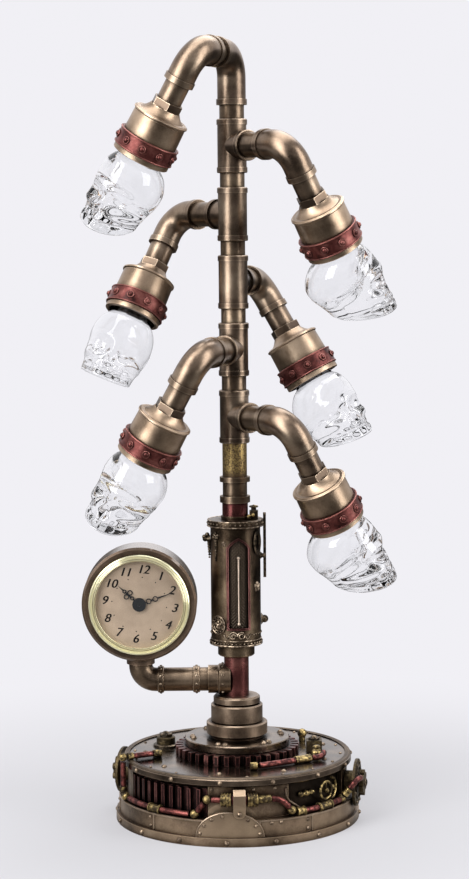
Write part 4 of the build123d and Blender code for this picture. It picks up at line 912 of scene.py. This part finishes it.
# Clock: bezel with four grooves on its slope
forward = Vector((0, -1, 0))
clock_seat = seat(clock_middle, up, forward)
bezel = Shape()
bezel_outline = [(31.45, 13.2), (31.45, 15.0), (35.3, 15.0), (35.3, 16.6), (35.0, 17.2), (34.4, 17.6)]
for i in range(4):
    bezel_outline += [(34.0 - 0.75 * i, 17.55 - 0.14 * i), (33.75 - 0.75 * i, 17.1 - 0.14 * i)]
bezel_outline += [(31.0, 17.0), (30.62, 16.6), (30.62, 13.2)]
bezel.lathe(clock_seat, bezel_outline, 96, closed=True)
piece("bezel_rings", bezel, bezel_brass, root, sharp=20, replaced="clock_bezel")


def figure_form(text, size):
    """Points and faces of a slanted figure, flat and around its own middle."""
    curve = bpy.data.curves.new("figure", "FONT")
    curve.body = text
    curve.size = size
    curve.align_x = "CENTER"
    curve.align_y = "CENTER"
    curve.shear = 0.22
    curve.extrude = 0.04
    curve.resolution_u = 6
    carrier = bpy.data.objects.new("figure", curve)
    mesh = bpy.data.meshes.new_from_object(carrier)
    points = [vertex.co.copy() for vertex in mesh.vertices]
    faces = [tuple(face.vertices) for face in mesh.polygons]
    bpy.data.objects.remove(carrier)
    bpy.data.curves.remove(curve)
    bpy.data.meshes.remove(mesh)
    return points, faces


# Clock: numerals, each printed three times side by side for a thicker stroke, and the dots of the hours
dial_turn = 7.0
dial_stand = 13.25
numeral_radius = 24.6
numeral_size = 8.6
dot_radius = 19.2
dial_face = seat(clock_middle + forward * dial_stand, Vector((1, 0, 0)), forward)
numerals = Shape()
for hour in range(1, 13):
    turn = radians(90 - dial_turn - 30 * hour)
    tilt = -dial_turn * (1.4 if hour in (2, 3, 4) else 0.8)
    form = figure_form(str(hour), numeral_size)
    for shift in (0, 0.2, 0.4):
        middle = moved(numeral_radius * cos(turn) + shift, numeral_radius * sin(turn))
        numerals.add(dial_face @ middle @ spun(tilt), *form)
piece("dial_numerals", numerals, ink, root)
dots = Shape()
for hour in range(12):
    turn = radians(90 - dial_turn - 30 * hour)
    place = dial_face @ moved(dot_radius * cos(turn), dot_radius * sin(turn), -0.1)
    dots.lathe(place, [(0.45, 0), (0.42, 0.14), (0, 0.16)], 10)
piece("dial_dots", dots, ink, root)

# Clock: rivets round the collars of the side pipe
side_pipe_height = 97.7
pipe_rivets = Shape()
for reach, radius in ((28.2, 9.4), (53.3, 9.4), (9.8, 11.0)):
    for turn in spread(10, 10):
        away = Vector((0, cos(radians(turn)), sin(radians(turn))))
        spot = Vector((-reach, 0, side_pipe_height)) + away * radius
        pipe_rivets.dome(seat(spot, Vector((1, 0, 0)), away), 0.85, 0.8, 10)
piece("clock_pipe_rivets", pipe_rivets, bright_cast, root)

# Clock: raised ring and screws of the cover at the back of the case
case_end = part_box("clock_case")[1].y / mm
case_back = seat(Vector((clock_middle.x, case_end, clock_middle.z)), Vector((1, 0, 0)), -forward)
cover = Shape()
cover.lathe(case_back, [(33.6, -0.2), (33.6, 0.5), (33.0, 0.9), (31.6, 0.9), (31.0, 0.5), (31.0, -0.2)], 90)
for turn in spread(90, 3):
    cover.dome(case_back @ spun(turn) @ moved(27.5), 1.9, 1.1)
piece("clock_back_ring", cover, case_metal, root)

# Arms: directions of each head, in the order of the solids
branch_azimuths = (-112.0, -54.0, 130.0, 74.0, -112.0, -54.0)
lean_sides = (-1, 1, 1, -1, -1, 1)
skull_turns = (-86.0, 50.0, -50.0, 45.0, -90.0, 60.0)
head_lean = radians(30.0)
arm_reach = 62.5
joint_heights = {
    int(joint["child"].split("_")[1]): joint["pos_m"][2] / mm
    for joint in frame["joints"] if joint["child"].startswith("arm_")}


def head_seat(number, turn=0.0):
    """Seat at the corner of an elbow: z runs down the head and x faces the way the skull looks."""
    branch = polar(branch_azimuths[number - 1], 1, 0)
    lean = polar(branch_azimuths[number - 1] + 90 * lean_sides[number - 1], 1, 0)
    axis = lean * sin(head_lean) - up * cos(head_lean)
    face = lean * cos(head_lean) + up * sin(head_lean)
    look = face * cos(radians(turn)) + axis.cross(face) * sin(radians(turn))
    return seat(branch * arm_reach + up * joint_heights[number], look, axis)


# Glass skull: rows of (depth, forward shift, half length, half width) below its neck, outside and in its cavity
skull_start = 84.0
neck_radius = 14.3
neck_bore = 12.5
bead_radius = 15.6
bead_height = 2.4
outer_rows = (
    (0.0, 0.0, 14.3, 14.3), (3.8, -1.5, 19.4, 18.3), (9.6, -3.0, 23.9, 21.3), (18.2, -4.0, 26.9, 22.9),
    (26.9, -3.5, 26.4, 22.2), (34.0, -2.1, 24.5, 20.3), (40.4, -0.8, 23.1, 18.9), (46.0, 0.2, 22.2, 18.0))
inner_rows = (
    (0.0, 0.0, 12.5, 12.5), (4.0, -1.5, 16.8, 16.2), (10.0, -5.0, 20.0, 18.8), (18.0, -8.0, 21.5, 19.8),
    (26.0, -10.0, 19.0, 18.0), (33.0, -11.0, 13.5, 13.0), (36.0, -11.2, 6.0, 6.0))
cavity_end = (-11.2, 0, 36.8)
cavity_steps = 24
skull_steps = 92
turn_steps = 112
face_forms = (
    # depth, sideways, height, width, push, sharpness: eyes, nose, brows, cheekbones, cheeks and temples
    (28.0, 8.8, 5.2, 5.8, -4.6, 1.7), (28.0, -8.8, 5.2, 5.8, -4.6, 1.7), (35.4, 0.0, 3.6, 2.8, -3.0, 1.5),
    (21.6, 8.8, 2.8, 8.0, 1.3, 1.0), (21.6, -8.8, 2.8, 8.0, 1.3, 1.0), (34.0, 15.4, 3.0, 4.6, 1.6, 1.0),
    (34.0, -15.4, 3.0, 4.6, 1.6, 1.0), (39.6, 13.6, 3.2, 4.2, -1.6, 1.0), (39.6, -13.6, 3.2, 4.2, -1.6, 1.0),
    (24.0, 20.5, 6.5, 4.5, -1.4, 1.0), (24.0, -20.5, 6.5, 4.5, -1.4, 1.0))
face_side = -0.2
teeth_side = 0.45
teeth_level = 41.6
teeth_half_height = 3.4
teeth_push = 0.7
teeth_gap = 0.8
bite_depth = 1.1
bite_half_height = 0.7
jaw_slope = 0.2867
jaw_push = 0.2
# Share of the outline's size and how much deeper, from the jaw's edge to the middle of its underside
under_jaw = ((0.96, 0.7), (0.88, 1.0), (0.78, 0.7), (0.7, 0.1), (0.4, -0.3))


def read_rows(rows, share):
    """Smooth value of the rows at a share of their length."""
    place = share * (len(rows) - 1)
    i = min(int(place), len(rows) - 2)
    t = place - i
    before, this, other, after = rows[max(i - 1, 0)], rows[i], rows[i + 1], rows[min(i + 2, len(rows) - 1)]
    return [
        0.5 * (2 * b + (c - a) * t + (2 * a - 5 * b + 4 * c - d) * t * t + (3 * b - a - 3 * c + d) * t ** 3)
        for a, b, c, d in zip(before, this, other, after)]


def skull_point(share, turn, shrink=1.0):
    """Point on the outside of the glass: turn 0 looks out of the face."""
    depth, forward_shift, half_length, half_width = read_rows(outer_rows, share)
    sideways = half_width * sin(turn)
    push = 0.0
    if cos(turn) > face_side:
        for level, side, tall, wide, amount, sharpness in face_forms:
            far = ((sideways - side) / wide) ** 2 + ((depth - level) / tall) ** 2
            push += amount * exp(-far ** sharpness)
        if cos(turn) > teeth_side:
            teeth = exp(-((depth - teeth_level) / teeth_half_height) ** 6)
            gap = abs(cos(turn * 9.0)) ** 8
            bite = exp(-((depth - teeth_level) / bite_half_height) ** 2)
            push += teeth * (teeth_push - teeth_gap * gap) - bite_depth * bite
    if share == 1.0:
        push = jaw_push
    ahead = shrink * (half_length + push) * cos(turn) + forward_shift
    return (ahead, shrink * (half_width + push) * sin(turn), depth + jaw_slope * ahead * share ** 2.5)


def skull_shape(neck_top):
    """Closed glass wall: from the bottom of the cavity up through the neck and down round the outside."""
    turns = [2 * pi * i / turn_steps for i in range(turn_steps)]
    rings = [[cavity_end]]
    for i in range(cavity_steps, -1, -1):
        depth, shift, half_length, half_width = read_rows(inner_rows, i / cavity_steps)
        rings.append([(shift + half_length * cos(turn), half_width * sin(turn), depth) for turn in turns])
    for radius, depth in (
            (neck_bore, neck_top), (neck_bore + 0.6, neck_top - 0.4), (bead_radius - 0.6, neck_top - 0.4),
            (bead_radius, neck_top + 0.2), (bead_radius, neck_top + bead_height - 0.4),
            (neck_radius, neck_top + bead_height)):
        rings.append([(radius * cos(turn), radius * sin(turn), depth) for turn in turns])
    for i in range(skull_steps + 1):
        rings.append([skull_point(i / skull_steps, turn) for turn in turns])
    for shrink, deeper in under_jaw:
        rings.append([(x, y, z + deeper) for x, y, z in (skull_point(1.0, turn, shrink) for turn in turns)])
    rings.append([(outer_rows[-1][1], 0, outer_rows[-1][0])])
    shape = Shape()
    shape.rings(Matrix(), rings)
    return shape


# The neck ends where the solid skull does
first_head = head_seat(1)
first_axis = first_head.to_3x3().col[2]
neck_top = min(
    (vertex.co / mm - first_head.translation).dot(first_axis)
    for vertex in frame["nodes"]["arm_1_skull"].data.vertices) - skull_start + 0.4
band_start = 67.3
band_end = 78.7
band_radius = 20.8
stud_outline = [
    (2.7, -0.3), (2.7, 0.55), (2.45, 0.8), (2.0, 0.8), (1.8, 0.62), (1.7, 0.9), (1.5, 1.45), (1.1, 1.85),
    (0.6, 2.05), (0, 2.1)]
for number in range(1, 7):
    body = f"arm_{number}"
    place = head_seat(number, skull_turns[number - 1]) @ moved(z=skull_start)
    shape = skull_shape(neck_top)
    shape.points = [place @ point for point in shape.points]
    solid = f"arm_{number}_skull"
    piece(f"skull_{number}_glass", shape, skull_glass, body, sharp=60, replaced=solid)

    studs = Shape()
    outwards = Matrix.Rotation(radians(90), 4, "Y")
    for turn in spread(0, 10):
        stud = head_seat(number) @ spun(turn) @ moved(band_radius, 0, (band_start + band_end) / 2) @ outwards
        studs.lathe(stud, stud_outline, 18)
    piece(f"arm_{number}_studs", studs, red_copper, body)
    lips = Shape()
    for depth in (band_start + 0.5, band_end - 0.5):
        lips.loop(head_seat(number) @ moved(z=depth), band_radius - 0.05, 0.55, 72)
    piece(f"arm_{number}_band_beads", lips, red_copper, body)

# Finish of every solid, the arms' nuts darker than their pipes
nut_depth = 41.9
nut_half_height = 0.0028
nut_reach = 0.0125
nut_belts = []
for number in range(1, 7):
    head = head_seat(number)
    nut_middle = (head @ Vector((0, 0, nut_depth))) * mm
    nut_belts.append((nut_middle, head.to_3x3().col[2].normalized(), nut_half_height, nut_reach))
arm_metal = rubbed_metal("arm_brass", *antique_tones, painted_top_shade=0.35, belts=nut_belts)
arm_finish = {
    "pipes": arm_metal, "cup": cup_metal, "band": red_copper, "lampholder": holder_plastic,
    "skull": skull_glass}
for name, node in frame["nodes"].items():
    node.data.materials.clear()
    node.data.materials.append(node_finish[name] if name in node_finish else arm_finish[name.split("_")[2]])
